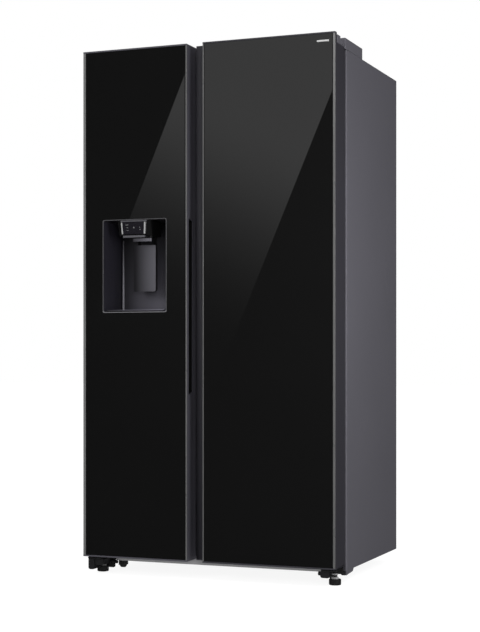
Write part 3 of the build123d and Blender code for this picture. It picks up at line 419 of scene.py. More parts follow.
# Finishes for single pieces and faces
finish("zinc_plate", grey(0.26), grey(0.34), 60, (0.3, 0.45), 700, 1e-5, Metallic=0.25)
finish("panel_print", grey(0.09), grey(0.12), 80, (0.4, 0.5), 900, 2e-6)
# Light grey of the recess bead: painted highlight, with painted shade towards its top
finish(
    "bead_painted_highlight", grey(0.20, 1.1), grey(0.24, 1.1), 12, (0.3, 0.4), 900, 8e-6,
    fades=(("Z", *BEAD_SHADE_Z, grey(0.03, 1.1)),),
)
finish("head_bracket", grey(0.05, 1.1), grey(0.06, 1.1), 12, (0.3, 0.4), 900, 8e-6)
finish("panel_edge", grey(0.30), grey(0.36), 12, (0.25, 0.35), 900, 6e-6, Metallic=0.3)
finish(
    "recess_ring", grey(0.055, 1.05), grey(0.065, 1.05), 12, (0.25, 0.35), 900, 6e-6,
    fades=(("Z", *RING_FADE_Z, grey(0.13, 1.05)),), Metallic=0.3,
)
finish(
    "head_black", grey(0.0035, 1.05), grey(0.0045, 1.05), 12, (0.5, 0.6), 1200, 1e-5,
    Specular_IOR_Level=0.15,
)
# Darker copy of the trim finish for the right door's outer strip: painted shade, with a painted
# highlight towards its top
finish(
    "right_trim_painted_light", grey(0.085), grey(0.105), 8, (0.26, 0.34), 900, 6e-6, stretch=ALONG_Z,
    fades=(("Z", *RIGHT_TRIM_HIGHLIGHT_Z, grey(0.15)),), Metallic=0.35, Anisotropic=0.4,
)
finish("badge_metal", grey(0.36), grey(0.42), 30, (0.26, 0.34), 900, 6e-6, Metallic=0.2)
# Darker copy of the trim finish for the strips at the middle gap: painted shade
finish(
    "gap_trim_shaded", grey(0.085), grey(0.105), 8, (0.26, 0.34), 900, 6e-6,
    stretch=ALONG_Z, Metallic=0.35, Anisotropic=0.4,
)
# Darker copy of the recess grey for its left wall: painted shade
finish("recess_side_shade", grey(0.011, 1.3), grey(0.013, 1.3), 8, (0.34, 0.42), 1200, 1.2e-5)
# Lighter copy of the door paint for the left door, paler still towards the back: painted light in
# the middle gap
finish(
    "left_door_paint_lit", grey(0.042, 1.16), grey(0.048, 1.18), 2.5, (0.34, 0.4), 800, 8e-6,
    fades=(("Y", *LEFT_DOOR_LIGHT_Y, grey(0.09, 1.16)),),
)


# ---------------------------------------------------------------- mesh helpers

# Angles between faces: merged as flat, bevelled as an edge, shaded as a crease
FLAT = math.radians(0.5)
SHARP = math.radians(30)
CREASE = math.radians(35)
WELD = 1e-6
# Radius at which a full turned profile starts and ends, just off its axis
CORE = 0.05 * MM


def place(name, bm, body, slot, finishes=None, replaces=()):
    """Turn a bmesh into a piece that rides on a body. finishes are named by material index."""
    bmesh.ops.recalc_face_normals(bm, faces=bm.faces)
    mesh = bpy.data.meshes.new(name)
    bm.to_mesh(mesh)
    bm.free()
    mesh.shade_smooth()
    mesh.set_sharp_from_angle(angle=CREASE)
    piece = add_object(name, mesh)
    for finish_name in finishes or (slot,):
        mesh.materials.append(FINISH[finish_name])
    shading = piece.modifiers.new("shading", "WEIGHTED_NORMAL")
    shading.keep_sharp = True
    shading.weight = 100
    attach(piece, body)
    if replaces:
        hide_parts(*replaces)


def stand_in(node, bm, finishes=None):
    """Place a bmesh on the node's body, in place of the node."""
    place(f"{node}_shape", bm, NODES[node]["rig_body"], SLOT_OF[node], finishes, (node,))


def welded(node):
    """The node's triangles as a bmesh with shared corners."""
    bm = bmesh.new()
    bm.from_mesh(NODES[node].data)
    bmesh.ops.remove_doubles(bm, verts=bm.verts, dist=WELD)
    return bm


def round_edges(bm, radius, segments=2):
    """Round the sharp edges of a closed mesh."""
    sharp = [e for e in bm.edges if len(e.link_faces) == 2 and e.calc_face_angle(0.0) > SHARP]
    bmesh.ops.bevel(
        bm, geom=sharp, offset=radius, offset_type="OFFSET", segments=segments,
        profile=0.5, affect="EDGES", clamp_overlap=True,
    )


def soften(node, radius, segments=2, change=None, finishes=None):
    """Piece with the node's own shape and rounded edges. change edits the shape first."""
    bm = welded(node)
    bmesh.ops.dissolve_limit(bm, angle_limit=FLAT, verts=bm.verts[:], edges=bm.edges[:])
    if change:
        change(bm)
    round_edges(bm, radius, segments)
    stand_in(node, bm, finishes)


def merge(bm, part, skin=0):
    """Add one bmesh to another, with all its faces in the finish number skin, and free it."""
    for face in part.faces:
        face.material_index = skin
    mesh = bpy.data.meshes.new("part")
    part.to_mesh(mesh)
    part.free()
    bm.from_mesh(mesh)
    bpy.data.meshes.remove(mesh)


def box_part(bm, low, high, radius, segments=2, skin=0):
    """Add a box with rounded edges."""
    part = bmesh.new()
    bmesh.ops.create_cube(part, size=1.0)
    size = Vector(high) - Vector(low)
    middle = (Vector(high) + Vector(low)) / 2
    bmesh.ops.scale(part, vec=size, verts=part.verts)
    bmesh.ops.translate(part, vec=middle, verts=part.verts)
    round_edges(part, radius, segments)
    merge(bm, part, skin)


def bridge(bm, rows, closed=False, dark=()):
    """Faces between closed rows of vertices, from each row to the next.

    closed joins the last row to the first. dark holds the places along a row whose faces
    take the second finish.
    """
    count = len(rows[0])
    for a, b in zip(rows, rows[1:] + rows[:1] if closed else rows[1:]):
        for i in range(count):
            j = (i + 1) % count
            bm.faces.new((a[i], a[j], b[j], b[i])).material_index = i in dark


def loft(bm, rings, dark=()):
    """Skin closed rings of equal length, one after another, and cap both ends."""
    rows = [[bm.verts.new(p) for p in ring] for ring in rings]
    bridge(bm, rows, dark=dark)
    bm.faces.new(rows[0][::-1])
    bm.faces.new(rows[-1])


def around(centre, axis, radius, height, turn):
    """Point at a radius, a height and an angle on an axis through the centre."""
    u, v = radius * math.cos(turn), radius * math.sin(turn)
    point = {"Z": (u, v, height), "Y": (v, height, u), "X": (height, u, v)}[axis]
    return Vector(centre) + Vector(point)


def lathe(bm, profile, centre, steps=48, shape=None):
    """Full solid of revolution about Z. profile holds (radius, height) from end to end.

    shape, if given, turns a profile radius, its height and an angle into the radius there.
    """
    rings = []
    for radius, height in profile:
        ring = []
        for k in range(steps):
            turn = 2 * math.pi * k / steps
            r = shape(radius, height, turn) if shape else radius
            ring.append(around(centre, "Z", r, height, turn))
        rings.append(ring)
    loft(bm, rings)


def turned(bm, profile, centre, axis, steps=48):
    """Solid of revolution with a bore. profile is a closed outline of (radius, height)."""
    rows = []
    for k in range(steps):
        turn = 2 * math.pi * k / steps
        rows.append([bm.verts.new(around(centre, axis, r, h, turn)) for r, h in profile])
    bridge(bm, rows, closed=True)


def sweep_frame(bm, profile, x, z, y):
    """Sweep a closed profile round an upright rectangle. profile holds (inwards, along Y)."""
    corners = ((x[0], z[0], 1, 1), (x[1], z[0], -1, 1), (x[1], z[1], -1, -1), (x[0], z[1], 1, -1))
    rows = []
    for cx, cz, sx, sz in corners:
        rows.append([bm.verts.new((cx + sx * n, y + d, cz + sz * n)) for n, d in profile])
    bridge(bm, rows, closed=True)


def rounded_ring(x, y, z, radius, steps=5):
    """Level rounded rectangle of points at height z."""
    points = []
    for cx, cy, start in (
        (x[1] - radius, y[1] - radius, 0), (x[0] + radius, y[1] - radius, 90),
        (x[0] + radius, y[0] + radius, 180), (x[1] - radius, y[0] + radius, 270),
    ):
        for k in range(steps + 1):
            turn = math.radians(start + 90 * k / steps)
            points.append((cx + radius * math.cos(turn), cy + radius * math.sin(turn), z))
    return points


def tub(bm, x, y, z, wall, draft, radius, rim):
    """Open moulded tub: drafted walls, rounded corners and floor, and a folded rim."""
    low, high = z
    edge, curve = 0.8 * MM, 3 * MM
    foot = rim + draft

    def ring(inset, height, r):
        return rounded_ring(
            (x[0] + inset, x[1] - inset), (y[0] + inset, y[1] - inset), height, max(r, edge)
        )

    loft(bm, [
        ring(foot + curve, low, radius - 2 * MM),
        ring(foot + edge, low + edge, radius),
        ring(foot, low + curve, radius),
        ring(rim, high - 6 * MM, radius),
        ring(0.3 * MM, high - 5.2 * MM, radius + rim),
        ring(0, high - 4 * MM, radius + rim),
        ring(0, high - edge, radius + rim),
        ring(edge, high, radius + rim),
        ring(rim + wall - 0.6 * MM, high, radius),
        ring(rim + wall, high - edge, radius),
        ring(foot + wall, low + wall + curve, radius - wall / 2),
        ring(foot + wall + edge, low + wall + edge, radius - wall / 2),
        ring(foot + wall + curve, low + wall, radius - wall / 2),
    ])


def nut(bm, centre, radius, low, high, skin):
    """Hexagon nut with chamfered corners around a vertical axis."""
    edge = 0.8 * MM
    small = radius - edge
    turns = [math.radians(60 * k) for k in range(6)]
    rings = []
    for height, r in ((low, small), (low + edge, radius), (high - edge, radius), (high, small)):
        rings.append([
            (centre.x + r * math.cos(t), centre.y + r * math.sin(t), height) for t in turns
        ])
    part = bmesh.new()
    loft(part, rings)
    merge(bm, part, skin)


def solids_of(node):
    """Low and high corner of every separate solid in a node, from left to right."""
    bm = welded(node)
    left = set(bm.verts)
    boxes = []
    while left:
        stack = [left.pop()]
        found = [stack[0]]
        while stack:
            for edge in stack.pop().link_edges:
                for v in edge.verts:
                    if v in left:
                        left.remove(v)
                        stack.append(v)
                        found.append(v)
        low = Vector(min(v.co[i] for v in found) for i in range(3))
        high = Vector(max(v.co[i] for v in found) for i in range(3))
        boxes.append((low, high))
    bm.free()
    return sorted(boxes, key=lambda box: tuple(box[0]))


# ---------------------------------------------------------------- cabinet

# How far behind the cabinet's face the painted side panels begin
CASE_STEP = 10 * MM


def case_wrap():
    """Painted wrap. A rolled hem ends it at the front, and a dark fold leads on to the face."""
    low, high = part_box("outer_case")
    sheet = 1.2 * MM
    hem, hem_depth = 4 * MM, 8 * MM
    front = low.y + CASE_STEP
    fold = 12 * MM
    steps = 8

    def roll(depth):
        """Quarter ellipse of the hem, at a depth in the sheet."""
        points = []
        for k in range(steps + 1):
            turn = math.radians(90 * k / steps)
            inset = hem - (hem - depth) * math.cos(turn)
            points.append((inset, front + hem_depth - (hem_depth - depth) * math.sin(turn)))
        return points

    profile = [(0.0, high.y)] + roll(0.0)
    profile += [(hem, low.y), (fold, low.y), (fold, low.y + sheet), (hem + sheet, low.y + sheet)]
    profile += [(hem + sheet, front + sheet)] + roll(sheet)[::-1] + [(sheet, high.y)]
    # The two sides of the profile between the hem and the end of the fold
    dark = range(steps + 1, steps + 3)
    bend, tightest, bend_steps = 2.5 * MM, 0.2 * MM, 4
    rings = [[(low.x + n, y, low.z) for n, y in profile]]
    for side in (-1, 1):
        for k in range(bend_steps + 1):
            angle = 90 * k / bend_steps
            turn = math.radians(angle if side < 0 else 90 - angle)
            ring = []
            for n, y in profile:
                r = max(bend - n, tightest)
                x = high.x - n - r + r * math.cos(turn)
                ring.append((side * x, y, high.z - n - r + r * math.sin(turn)))
            rings.append(ring)
    rings.append([(high.x - n, y, low.z) for n, y in profile])
    bm = bmesh.new()
    loft(bm, rings, dark)
    place("case_wrap", bm, "cabinet", "case_paint", ("case_paint", "door_paint"), ("outer_case",))


def case_skirts():
    """Front lower corner of both side panels, drawn down beside the rollers."""
    low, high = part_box("outer_case")
    front = low.y + CASE_STEP - 3 * MM
    top = low.z + 0.4 * MM
    outline = [
        (front, top), (front, low.z - 15 * MM),
        (front + 71 * MM, low.z - 10 * MM), (front + 83 * MM, top),
    ]
    bm = bmesh.new()
    for side in (-1, 1):
        outer, inner = side * (high.x - 0.1 * MM), side * (high.x - 2.4 * MM)
        part = bmesh.new()
        loft(part, [[(outer, y, z) for y, z in outline], [(inner, y, z) for y, z in outline]])
        bmesh.ops.recalc_face_normals(part, faces=part.faces)
        round_edges(part, 0.7 * MM)
        merge(bm, part)
    place("case_skirts", bm, "cabinet", "case_paint")


def face_frame():
    """Front steel face, cut back to the case's folded hem."""
    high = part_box("front_flange")[1]
    cut = 11 * MM

    def narrow(bm):
        for v in bm.verts:
            if abs(v.co.x) > high.x - cut:
                v.co.x = math.copysign(high.x - cut, v.co.x)
            if v.co.z > high.z - cut:
                v.co.z = high.z - cut

    soften("front_flange", 0.3 * MM, change=narrow)


def tuck(node):
    """Copy of a node whose front corners are drawn in behind the case's round hem."""
    low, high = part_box("outer_case")
    near, inwards = 2 * MM, 7 * MM
    side, front, top = cad_high.x - near, low.y + near, high.z - near
    bm = bmesh.new()
    bm.from_mesh(NODES[node].data)
    for v in bm.verts:
        if v.co.y < front and abs(v.co.x) > side:
            v.co.x = math.copysign(side - inwards, v.co.x)
        if v.co.y < front and v.co.z > top:
            v.co.z = top - inwards
    stand_in(node, bm)


def base_pan():
    """Ribbed steel sheet that closes the foam from below, in front of the compressor."""
    low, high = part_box("insulation_foam")
    sheet, top = 0.7 * MM, low.z - 0.2 * MM
    inset, rib = 12 * MM, 3.0 * MM
    count = 24
    points = []
    for k in range(count + 1):
        x = low.x + inset + (high.x - low.x - 2 * inset) * k / count
        points.append((x, top - (rib if k % 4 in (1, 2) else 0.0)))
    outline = points + [(x, z - sheet) for x, z in reversed(points)]
    front, back = low.y + 96 * MM, -low.y - 106 * MM
    bm = bmesh.new()
    loft(bm, [[(x, front, z) for x, z in outline], [(x, back, z) for x, z in outline]])
    place("base_pan", bm, "cabinet", "chassis_steel")


def hinge_covers():
    """Both hinge covers, with the nose and the rear wall drawn back to fit the photo."""
    low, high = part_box("hinge_covers")
    nose_y, nose_height, nose_shift = low.y + 30.3 * MM, 13 * MM, 10 * MM
    wall, wall_shift = 4 * MM, 9 * MM

    def longer(bm):
        for v in bm.verts:
            if abs(v.co.y - nose_y) < 1 * MM and v.co.z > high.z - nose_height:
                v.co.y += nose_shift
            if v.co.y > high.y - wall:
                v.co.y += wall_shift

    soften("hinge_covers", 0.6 * MM, 2, longer)


def hinge_cover_details():
    """Screw plug and vent ribs on both hinge covers."""
    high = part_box("hinge_covers")[1]
    plug_inset, plug_back = 56 * MM, 52 * MM
    plug = [
        (CORE, -0.6 * MM), (7.0 * MM, -0.6 * MM), (7.0 * MM, -0.25 * MM), (6.4 * MM, 0.0),
        (2.4 * MM, 0.0), (2.0 * MM, -0.3 * MM), (CORE, -0.3 * MM),
    ]
    half, width, height, edge = 22 * MM, 2.5 * MM, 0.8 * MM, 0.3 * MM
    first, pitch, ribs = 84, 9, 5
    bm = bmesh.new()
    for side in (-1, 1):
        x = side * (high.x - plug_inset)
        lathe(bm, plug, (x, high.y - plug_back, high.z))
        for k in range(ribs):
            y = high.y - (first + pitch * k) * MM
            box_part(bm, (x - half, y, high.z - height), (x + half, y + width, high.z), edge)
    place("hinge_cover_details", bm, "cabinet", "cover_plastic")


def weld_seam():
    """Weld bead round the compressor shell."""
    low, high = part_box("compressor")
    # The compressor's box also holds tubes and feet, so the shell's own measures stand here
    shell_x, shell_z, radius = -0.300, 0.152, 72 * MM
    profile = [
        (radius - 1 * MM, -4 * MM), (radius + 0.8 * MM, -3 * MM), (radius + 2.4 * MM, -1.5 * MM),
        (radius + 2.4 * MM, 1.5 * MM), (radius + 0.8 * MM, 3 * MM), (radius - 1 * MM, 4 * MM),
    ]
    bm = bmesh.new()
    turned(bm, profile, (shell_x, (low.y + high.y) / 2, shell_z), "Z", 64)
    place("compressor_seam", bm, "cabinet", "compressor_black")


# ---------------------------------------------------------------- feet and rollers


def foot(side):
    """Levelling foot: ribbed pad, nut, lock nut and threaded stud."""
    node = f"foot_{side}"
    low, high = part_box(node)
    middle = (low + high) / 2
    radius = (high.x - low.x) / 2
    steps = 72
    groove, grip_low, grip_high, pad_top = 0.7 * MM, 4 * MM, 15 * MM, 20 * MM

    def ribbed(r, height, turn):
        in_groove = int(turn / (2 * math.pi) * steps + 0.5) % 3 == 0
        return r - (groove if grip_low < height < grip_high and in_groove else 0.0)

    pad = [
        (CORE, 0), (radius - 3.5 * MM, 0), (radius - 1 * MM, 0.7 * MM), (radius, 3 * MM),
        (radius, grip_low), (radius, 5 * MM), (radius, 14 * MM), (radius, grip_high),
        (radius, 17 * MM), (radius - 0.9 * MM, 19.2 * MM), (radius - 3 * MM, pad_top),
        (10 * MM, pad_top), (CORE, pad_top),
    ]
    bm = bmesh.new()
    lathe(bm, pad, (middle.x, middle.y, low.z), steps, ribbed)
    nut(bm, middle, 13 * MM, low.z + pad_top, low.z + 26 * MM, skin=1)
    # The hinge plate's flange is 11 mm from the foot's axis
    nut(bm, middle, 10.6 * MM, low.z + 33 * MM, low.z + 38 * MM, skin=1)
    bottom = 19 * MM
    valley, crest, pitch = 4.2 * MM, 5.0 * MM, 1.5 * MM
    thread = [(CORE, 0)]
    height, top = 0.0, high.z - low.z - bottom
    while height < top - 2.4 * MM:
        thread += [(valley, height), (crest, height + pitch / 2)]
        height += pitch
    thread += [(4.0 * MM, height), (3.6 * MM, top), (CORE, top)]
    part = bmesh.new()
    lathe(part, thread, (middle.x, middle.y, low.z + bottom), 24)
    # The stud takes the dark chassis steel rather than zinc: painted shade between the nuts
    merge(bm, part, skin=2)
    stand_in(node, bm, ("foot_plastic", "zinc_plate", "chassis_steel"))


def stud_collar(side):
    """Bored collar under the hinge plate, round the stud of a foot."""
    low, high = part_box(f"foot_{side}")
    middle = (low + high) / 2
    bore, radius, edge = 5.6 * MM, 14 * MM, 1 * MM
    bottom, top = 40 * MM, 51.8 * MM
    profile = [
        (bore, bottom), (13 * MM, bottom), (radius, bottom + edge), (radius, top), (bore, top),
    ]
    bm = bmesh.new()
    turned(bm, profile, (middle.x, middle.y, low.z), "Z", 40)
    place(f"stud_collar_{side}", bm, "cabinet", "bracket_black")


def leg_covers():
    """Leg covers and rails. The lowest cover reaches further out and down than in the CAD."""
    low, high = min(solids_of("leg_brackets"), key=lambda corners: corners[0].z)
    out, down, foot_height, near = 6 * MM, 3 * MM, 8 * MM, 0.1 * MM

    def wider(bm):
        for v in bm.verts:
            inside = all(low[i] - near < v.co[i] < high[i] + near for i in range(3))
            if inside and v.co.x < (low.x + high.x) / 2:
                v.co.x -= out
            if inside and v.co.z < low.z + foot_height:
                v.co.z -= down

    soften("leg_brackets", 1.5 * MM, 3, wider)


def left_bracket():
    """Stepped block behind the left foot."""
    foot_low, foot_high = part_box("foot_left")
    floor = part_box("base_frame")[0].z
    near = foot_high.y + 4 * MM
    far = near + 16 * MM
    x = foot_low.x + 14 * MM
    lower_width, upper_width = 36 * MM, 24 * MM
    bm = bmesh.new()
    box_part(
        bm, (x, near, floor - 34 * MM), (x + lower_width, far, floor - 12 * MM), 5 * MM, 3
    )
    box_part(
        bm, (x, near, floor - 20 * MM), (x + upper_width, far, floor + 0.3 * MM), 2 * MM, 3
    )
    place("left_bracket", bm, "cabinet", "bracket_black")


def roller(node):
    """Roller with a grooved tread, a dished web and a bored hub."""
    low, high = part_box(node)
    middle = (low + high) / 2
    radius = (high.z - low.z) / 2
    half = (high.x - low.x) / 2
    bore = 4.05 * MM
    web = half - 3 * MM
    side = [
        (bore, half), (7 * MM, half), (7.5 * MM, web), (12.5 * MM, web), (13 * MM, half),
        (radius - 2 * MM, half), (radius - 0.4 * MM, half - 1.2 * MM), (radius, web),
        (radius, 1.2 * MM), (radius - 1 * MM, 0.8 * MM),
    ]
    bm = bmesh.new()
    turned(bm, side + [(r, -h) for r, h in reversed(side)], middle, "X")
    stand_in(node, bm)


# ---------------------------------------------------------------- fans


def fan(node, axis, blades, hub):
    """Fan with a domed hub and twisted blades around the X or Y axis."""
    low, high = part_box(node)
    middle = (low + high) / 2
    reach = (high.z - low.z) / 2 - 1.5 * MM
    thick = (high.x - low.x) / 2 if axis == "X" else (high.y - low.y) / 2
    bore = 3.05 * MM
    deep = min(9 * MM, thick)
    profile = [
        (bore, -deep), (hub - 1.5 * MM, -deep), (hub, -deep + 1.5 * MM), (hub, deep - 3 * MM),
        (hub - 3 * MM, deep - 0.6 * MM), (8 * MM, deep), (bore, deep),
    ]
    bm = bmesh.new()
    turned(bm, profile, middle, axis)
    steps = 6
    root = hub - 1.5 * MM
    # Blade measures at the root, and what is added to them towards the tip
    chord_mm, chord_more = 20, 14
    pitch_degrees, pitch_more = 48, -22
    tip_sweep = 0.35
    bulge_height, half_thickness, clearance = 2.2 * MM, 0.9 * MM, 0.3 * MM
    for blade in range(blades):
        start = 2 * math.pi * blade / blades
        rings = []
        for step in range(steps + 1):
            share = step / steps
            r = root + (reach - hub + 1.5 * MM) * share
            chord = (chord_mm + chord_more * share) * MM
            pitch = math.radians(pitch_degrees + pitch_more * share)
            sweep = start + tip_sweep * share
            front, back = [], []
            for k in range(steps + 1):
                t = k / steps - 0.5
                bulge = bulge_height * (1 - 4 * t * t)
                body = half_thickness * (1 - 3.4 * t * t)
                for line, offset in ((front, bulge + body), (back, bulge - body)):
                    along = chord * t * math.cos(pitch) - offset * math.sin(pitch)
                    depth = chord * t * math.sin(pitch) + offset * math.cos(pitch)
                    depth = max(-thick + clearance, min(thick - clearance, depth))
                    turn = sweep + along / r
                    u, v = r * math.cos(turn), r * math.sin(turn)
                    point = (depth, u, v) if axis == "X" else (v, depth, u)
                    line.append(middle + Vector(point))
            rings.append(front + back[::-1])
        loft(bm, rings)
    stand_in(node, bm)


# ---------------------------------------------------------------- doors


def gasket(node):
    """Bellows seal with a magnet pocket, swept round the inner face of a door."""
    low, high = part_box(node)
    deep = high.y - low.y
    # Inwards in mm, and depth as a share of the whole depth
    outline = [
        (3, 0), (3, 0.22), (0.6, 0.32), (0.6, 0.46), (2.4, 0.54), (0, 0.63), (0, 0.95), (0.6, 1),
        (12.8, 1), (13.4, 0.95), (13.4, 0.66), (10.8, 0.58), (12.6, 0.48), (12.6, 0.34),
        (10.2, 0.24), (16, 0.16), (16, 0),
    ]
    profile = [(n * MM, d * deep) for n, d in outline]
    bm = bmesh.new()
    sweep_frame(bm, profile, (low.x, high.x), (low.z, high.z), low.y)
    stand_in(node, bm)


def bins(node):
    """Moulded door bins with folded rims, drafted walls and a front rail."""
    rail_inset = 22 * MM
    bm = bmesh.new()
    for low, high in solids_of(node):
        tub(
            bm, (low.x, high.x), (low.y, high.y), (low.z, high.z),
            wall=2.4 * MM, draft=4 * MM, radius=12 * MM, rim=3 * MM,
        )
        box_part(
            bm, (low.x + rail_inset, high.y - 4.2 * MM, high.z - 28 * MM),
            (high.x - rail_inset, high.y - 1.0 * MM, high.z - 12 * MM), 1.4 * MM, 3, skin=1,
        )
    stand_in(node, bm, ("clear_bin", "fitting_trim"))


# Width of glass that shows beside the strips at the middle gap
GLASS_STRIP = 2.8 * MM


def door_trims(node, side, joint, paint):
    """Edge strips of a door, each a little narrower than its place between glass and edge.

    A dark joint is left beside the outer strip, and glass beside the one at the middle gap.
    """
    strips = solids_of(node)
    gap, outer = strips if side > 0 else strips[::-1]
    outer_edge = outer[0].x if side > 0 else outer[1].x
    gap_edge = gap[1].x if side > 0 else gap[0].x
    near_edge, near_strip = 1.2 * MM, 20 * MM

    def narrow(bm):
        for v in bm.verts:
            if abs(v.co.x - outer_edge) < near_edge:
                v.co.x += side * joint
            if abs(v.co.x - gap_edge) < near_edge:
                v.co.x -= side * GLASS_STRIP
        # Faces near the middle gap take the darker gap finish, painted shade
        for face in bm.faces:
            if abs(face.calc_center_median().x - gap_edge) < near_strip:
                face.material_index = 1

    soften(node, 0.3 * MM, 2, narrow, (paint, "gap_trim_shaded"))
    low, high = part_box(node)
    back = high.y - 0.1 * MM
    overlap, edge = 0.7 * MM, 0.2 * MM
    bm = bmesh.new()
    near, far = sorted((outer_edge + side * 0.15 * MM, outer_edge + side * (joint + overlap)))
    box_part(bm, (near, high.y - 1.6 * MM, low.z), (far, back, high.z), edge)
    near, far = sorted((gap_edge - side * 0.1 * MM, gap_edge - side * (GLASS_STRIP + overlap)))
    box_part(bm, (near, low.y + 1.0 * MM, low.z), (far, back, high.z), edge, skin=1)
    place(
        f"{node}_joint", bm, NODES[node]["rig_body"], "black_plastic",
        ("black_plastic", "black_glass"),
    )


def drawer(node):
    """Drawer with soft edges and a metal strip along the top of its front."""
    soften(node, 1.4 * MM)
    low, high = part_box(node)
    inset = 14 * MM
    bm = bmesh.new()
    box_part(
        bm, (low.x + inset, low.y, high.z - 9 * MM),
        (high.x - inset, low.y + 1.2 * MM, high.z - 3 * MM), 0.5 * MM,
    )
    place(f"{node}_strip", bm, NODES[node]["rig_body"], SLOT_OF[node], ("fitting_trim",))


# ---------------------------------------------------------------- dispenser


def lever():
    """Bowed brushed plate with a dark backing shell, an arm and a bored barrel."""
    node = "dispenser_lever"
    low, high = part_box(node)
    middle = (low.x + high.x) / 2
    half = (high.x - low.x) / 2
    corner = 5 * MM
    bow = 3.5 * MM
    rows, columns = 16, 12
    bm = bmesh.new()

    def plate(shift, inset, front, thick, z_low, z_high, skin):
        """Bowed plate with round lower corners. Its rows lie closer together at the bottom."""
        rings = []
        for row in range(rows + 1):
            z = z_low + (z_high - z_low) * (row / rows) ** 1.6
            up = min(z - z_low, corner)
            cut = corner - math.sqrt(max(corner ** 2 - (corner - up) ** 2, 0.0))
            width = half - inset - cut
            line = []
            for k in range(columns + 1):
                u = 2 * k / columns - 1
                line.append((middle + shift + u * width, front + bow * u * u))
            face = [(x, y, z) for x, y in line]
            rear = [(x, y + thick, z) for x, y in reversed(line)]
            rings.append(face + rear)
        part = bmesh.new()
        loft(part, rings)
        merge(bm, part, skin)

    inner = 1 * MM
    plate(-3.5 * MM, 0.0, low.y, 1.4 * MM, low.z, high.z, skin=0)
    plate(-3.0 * MM, inner, low.y + 1.5 * MM, 15 * MM, low.z + inner, high.z - inner, skin=1)
    pivot_y = high.y - 4.5 * MM
    pivot_z = high.z - 10 * MM
    bore, radius, edge = 2.05 * MM, 4.5 * MM, 4.2 * MM
    end, shoulder = 25 * MM, 24.5 * MM
    barrel = [
        (bore, -end), (edge, -end), (radius, -shoulder), (radius, shoulder), (edge, end),
        (bore, end),
    ]
    part = bmesh.new()
    turned(part, barrel, (middle, pivot_y, pivot_z), "X", 32)
    for rib in (-16, 0, 16):
        x = middle + rib * MM
        box_part(
            part, (x - 1.5 * MM, low.y + 4 * MM, pivot_z - 4 * MM),
            (x + 1.5 * MM, pivot_y - 3 * MM, pivot_z + 4 * MM), 0.5 * MM,
        )
    merge(bm, part, skin=1)
    # The plate's metal darkens towards its left: painted shade
    stand_in(node, bm, ("lever_metal", "black_plastic"))


def corner_out(bm):
    """Draw the lower left corner of the panel and its strip outwards."""
    low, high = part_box("dispenser_panel")
    out = 6 * MM
    for v in bm.verts:
        at_left = low.x - 8 * MM < v.co.x < low.x + 30 * MM
        at_bottom = low.z - 2 * MM < v.co.z < high.z - 20 * MM
        if at_left and at_bottom:
            v.co.x -= out


def head_parts():
    """The head with its panel, strips and ring, each in its own finish."""
    low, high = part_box("dispenser_panel")
    beside, above = 12 * MM, 1 * MM

    def strips(bm):
        corner_out(bm)
        for face in bm.faces:
            middle = face.calc_center_median()
            in_width = low.x - beside < middle.x < high.x + beside
            if in_width and low.z - above < middle.z < high.z + above:
                face.material_index = 1

    def bracket(bm):
        for face in bm.faces:
            middle = face.calc_center_median()
            under = middle.z < low.z - 6 * MM and middle.y < low.y + 22 * MM
            if middle.y < low.y + 2 * MM or under:
                face.material_index = 1

    soften("dispenser_trims", 0.8 * MM, 2, strips, ("recess_ring", "panel_edge"))
    soften("dispenser_panel", 0.4 * MM, 2, corner_out)
    soften("dispenser_head", 0.8 * MM, 2, bracket, ("head_black", "head_bracket"))


def recess():
    """Housing of the recess. Its left wall takes a darker finish, as painted shade."""
    low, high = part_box("dispenser_housing")

    def shade(bm):
        for face in bm.faces:
            middle = face.calc_center_median()
            if face.normal.x > 0.5 and middle.x < (low.x + high.x) / 2:
                face.material_index = 1

    soften("dispenser_housing", 0.8 * MM, 2, shade, ("dispenser_grey", "recess_side_shade"))


def chute_lip():
    """Rounded bright lip in front of the ice chute. Its finish darkens towards the left, painted
    shade as on the lever.
    """
    low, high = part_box("ice_chute")
    bm = bmesh.new()
    box_part(
        bm, (low.x + 6 * MM, low.y - 3 * MM, low.z - 6 * MM),
        (high.x, low.y + 1.0 * MM, low.z + 5 * MM), 1.2 * MM, 3,
    )
    place("chute_lip", bm, "freezer_door", "lever_metal")


def corner_bead():
    """Slim bead down the left rear corner of the recess, thinner towards its top. Its light grey
    is a painted highlight, darker towards the top by painted shade under the head.
    """
    low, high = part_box("dispenser_housing")
    x, y = low.x + 17.5 * MM, high.y - 6.4 * MM
    bottom, top = low.z + 11 * MM, high.z - 62 * MM
    half_depth = 2.2 * MM
    rows, steps = 8, 10
    rings = []
    for k in range(rows + 1):
        share = k / rows
        z = bottom + (top - bottom) * share
        half_width = (3.6 - 1.4 * share) * MM
        ring = []
        for step in range(steps):
            turn = 2 * math.pi * step / steps
            ring.append((x + half_width * math.cos(turn), y + half_depth * math.sin(turn), z))
        rings.append(ring)
    bm = bmesh.new()
    loft(bm, rings)
    place("recess_bead", bm, "freezer_door", "dispenser_grey", ("bead_painted_highlight",))


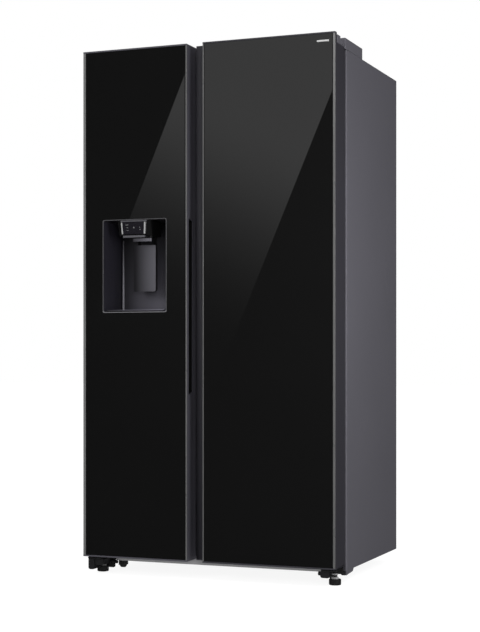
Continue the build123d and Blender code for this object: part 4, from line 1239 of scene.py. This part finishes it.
def panel_marks():
    """Plain printed marks on the touch panel: four dashes and two discs."""
    low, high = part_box("dispenser_panel")
    # The panel's foot lies 12 mm further back than its top
    lean = 12 * MM / (high.z - low.z)
    proud, sunk = 0.12 * MM, 0.15 * MM
    bm = bmesh.new()

    def mark(points):
        def row(offset):
            return [(x, low.y + (high.z - z) * lean + offset, z) for x, z in points]

        loft(bm, [row(-proud), row(sunk)])

    def dash(x, z, half_width, half_height):
        w, h = half_width * MM, half_height * MM
        mark([(x - w, z - h), (x + w, z - h), (x + w, z + h), (x - w, z + h)])

    def disc(x, z, radius):
        r = radius * MM
        steps = 20
        turns = [2 * math.pi * k / steps for k in range(steps)]
        mark([(x + r * math.cos(t), z + r * math.sin(t)) for t in turns])

    first, last = low.x + 16 * MM, high.x - 18 * MM
    dash(first, high.z - 9 * MM, 5.0, 1.0)
    dash(first, high.z - 18 * MM, 3.5, 0.8)
    dash(first, high.z - 27 * MM, 3.5, 0.8)
    disc((low.x + high.x) / 2, high.z - 18 * MM, 2.6)
    disc(last, high.z - 18 * MM, 1.6)
    dash(last, high.z - 25 * MM, 3.0, 0.7)
    place("panel_marks", bm, "freezer_door", "panel_gloss", ("panel_print",))


# ---------------------------------------------------------------- build

SOFT = (
    # node, radius in mm, segments
    ("freezer_door_glass", 0.8, 3),
    ("fridge_door_glass", 0.8, 3),
    ("fridge_door_shell", 0.5, 2),
    ("freezer_door_liner", 0.6, 2),
    ("fridge_door_liner", 0.6, 2),
    ("ice_chute", 0.4, 2),
    ("drip_tray", 0.4, 2),
    ("chute_flap", 0.4, 2),
    ("freezer_liner", 1.0, 2),
    ("fridge_liner", 1.0, 2),
    ("shelf_glass", 0.8, 2),
    ("shelf_trims", 0.8, 2),
    ("duct_covers", 0.6, 2),
    ("interior_lamps", 1.5, 3),
    ("ice_maker", 1.0, 2),
    ("kick_plate", 0.4, 2),
    ("power_inlet", 0.5, 2),
    ("top_hinges", 0.5, 2),
    ("bottom_hinges", 0.5, 2),
    ("roller_brackets", 0.4, 2),
    ("back_panel", 0.3, 1),
    ("compressor", 0.8, 2),
)

for node, radius, segments in SOFT:
    soften(node, radius * MM, segments)
case_wrap()
case_skirts()
face_frame()
tuck("insulation_foam")
tuck("base_frame")
base_pan()
hinge_covers()
hinge_cover_details()
# The left door takes a lighter copy of the door paint: painted light
soften("freezer_door_shell", 0.5 * MM, finishes=("left_door_paint_lit",))
soften("freezer_handle_pocket", 0.6 * MM, finishes=("head_black",))
soften("fridge_handle_pocket", 0.6 * MM, finishes=("head_black",))
soften("badge_plate", 0.3 * MM, finishes=("badge_metal",))
recess()
head_parts()
weld_seam()
for side in ("left", "right"):
    foot(side)
    stud_collar(side)
    roller(f"roller_front_{side}")
    roller(f"roller_rear_{side}")
leg_covers()
left_bracket()
fan("evaporator_fan", "Y", 5, 16 * MM)
fan("condenser_fan", "X", 7, 16 * MM)
gasket("freezer_door_gasket")
gasket("fridge_door_gasket")
bins("freezer_door_bins")
bins("fridge_door_bins")
door_trims("freezer_door_trims", -1, 0.5 * MM, "edge_trim")
door_trims("fridge_door_trims", 1, 1.9 * MM, "right_trim_painted_light")
for space in ("freezer", "fridge"):
    drawer(f"{space}_drawer_lower")
    drawer(f"{space}_drawer_upper")
lever()
chute_lip()
corner_bead()
panel_marks()

for node, obj in NODES.items():
    if not obj.hide_render:
        obj.data.materials.clear()
        obj.data.materials.append(FINISH[SLOT_OF[node]])
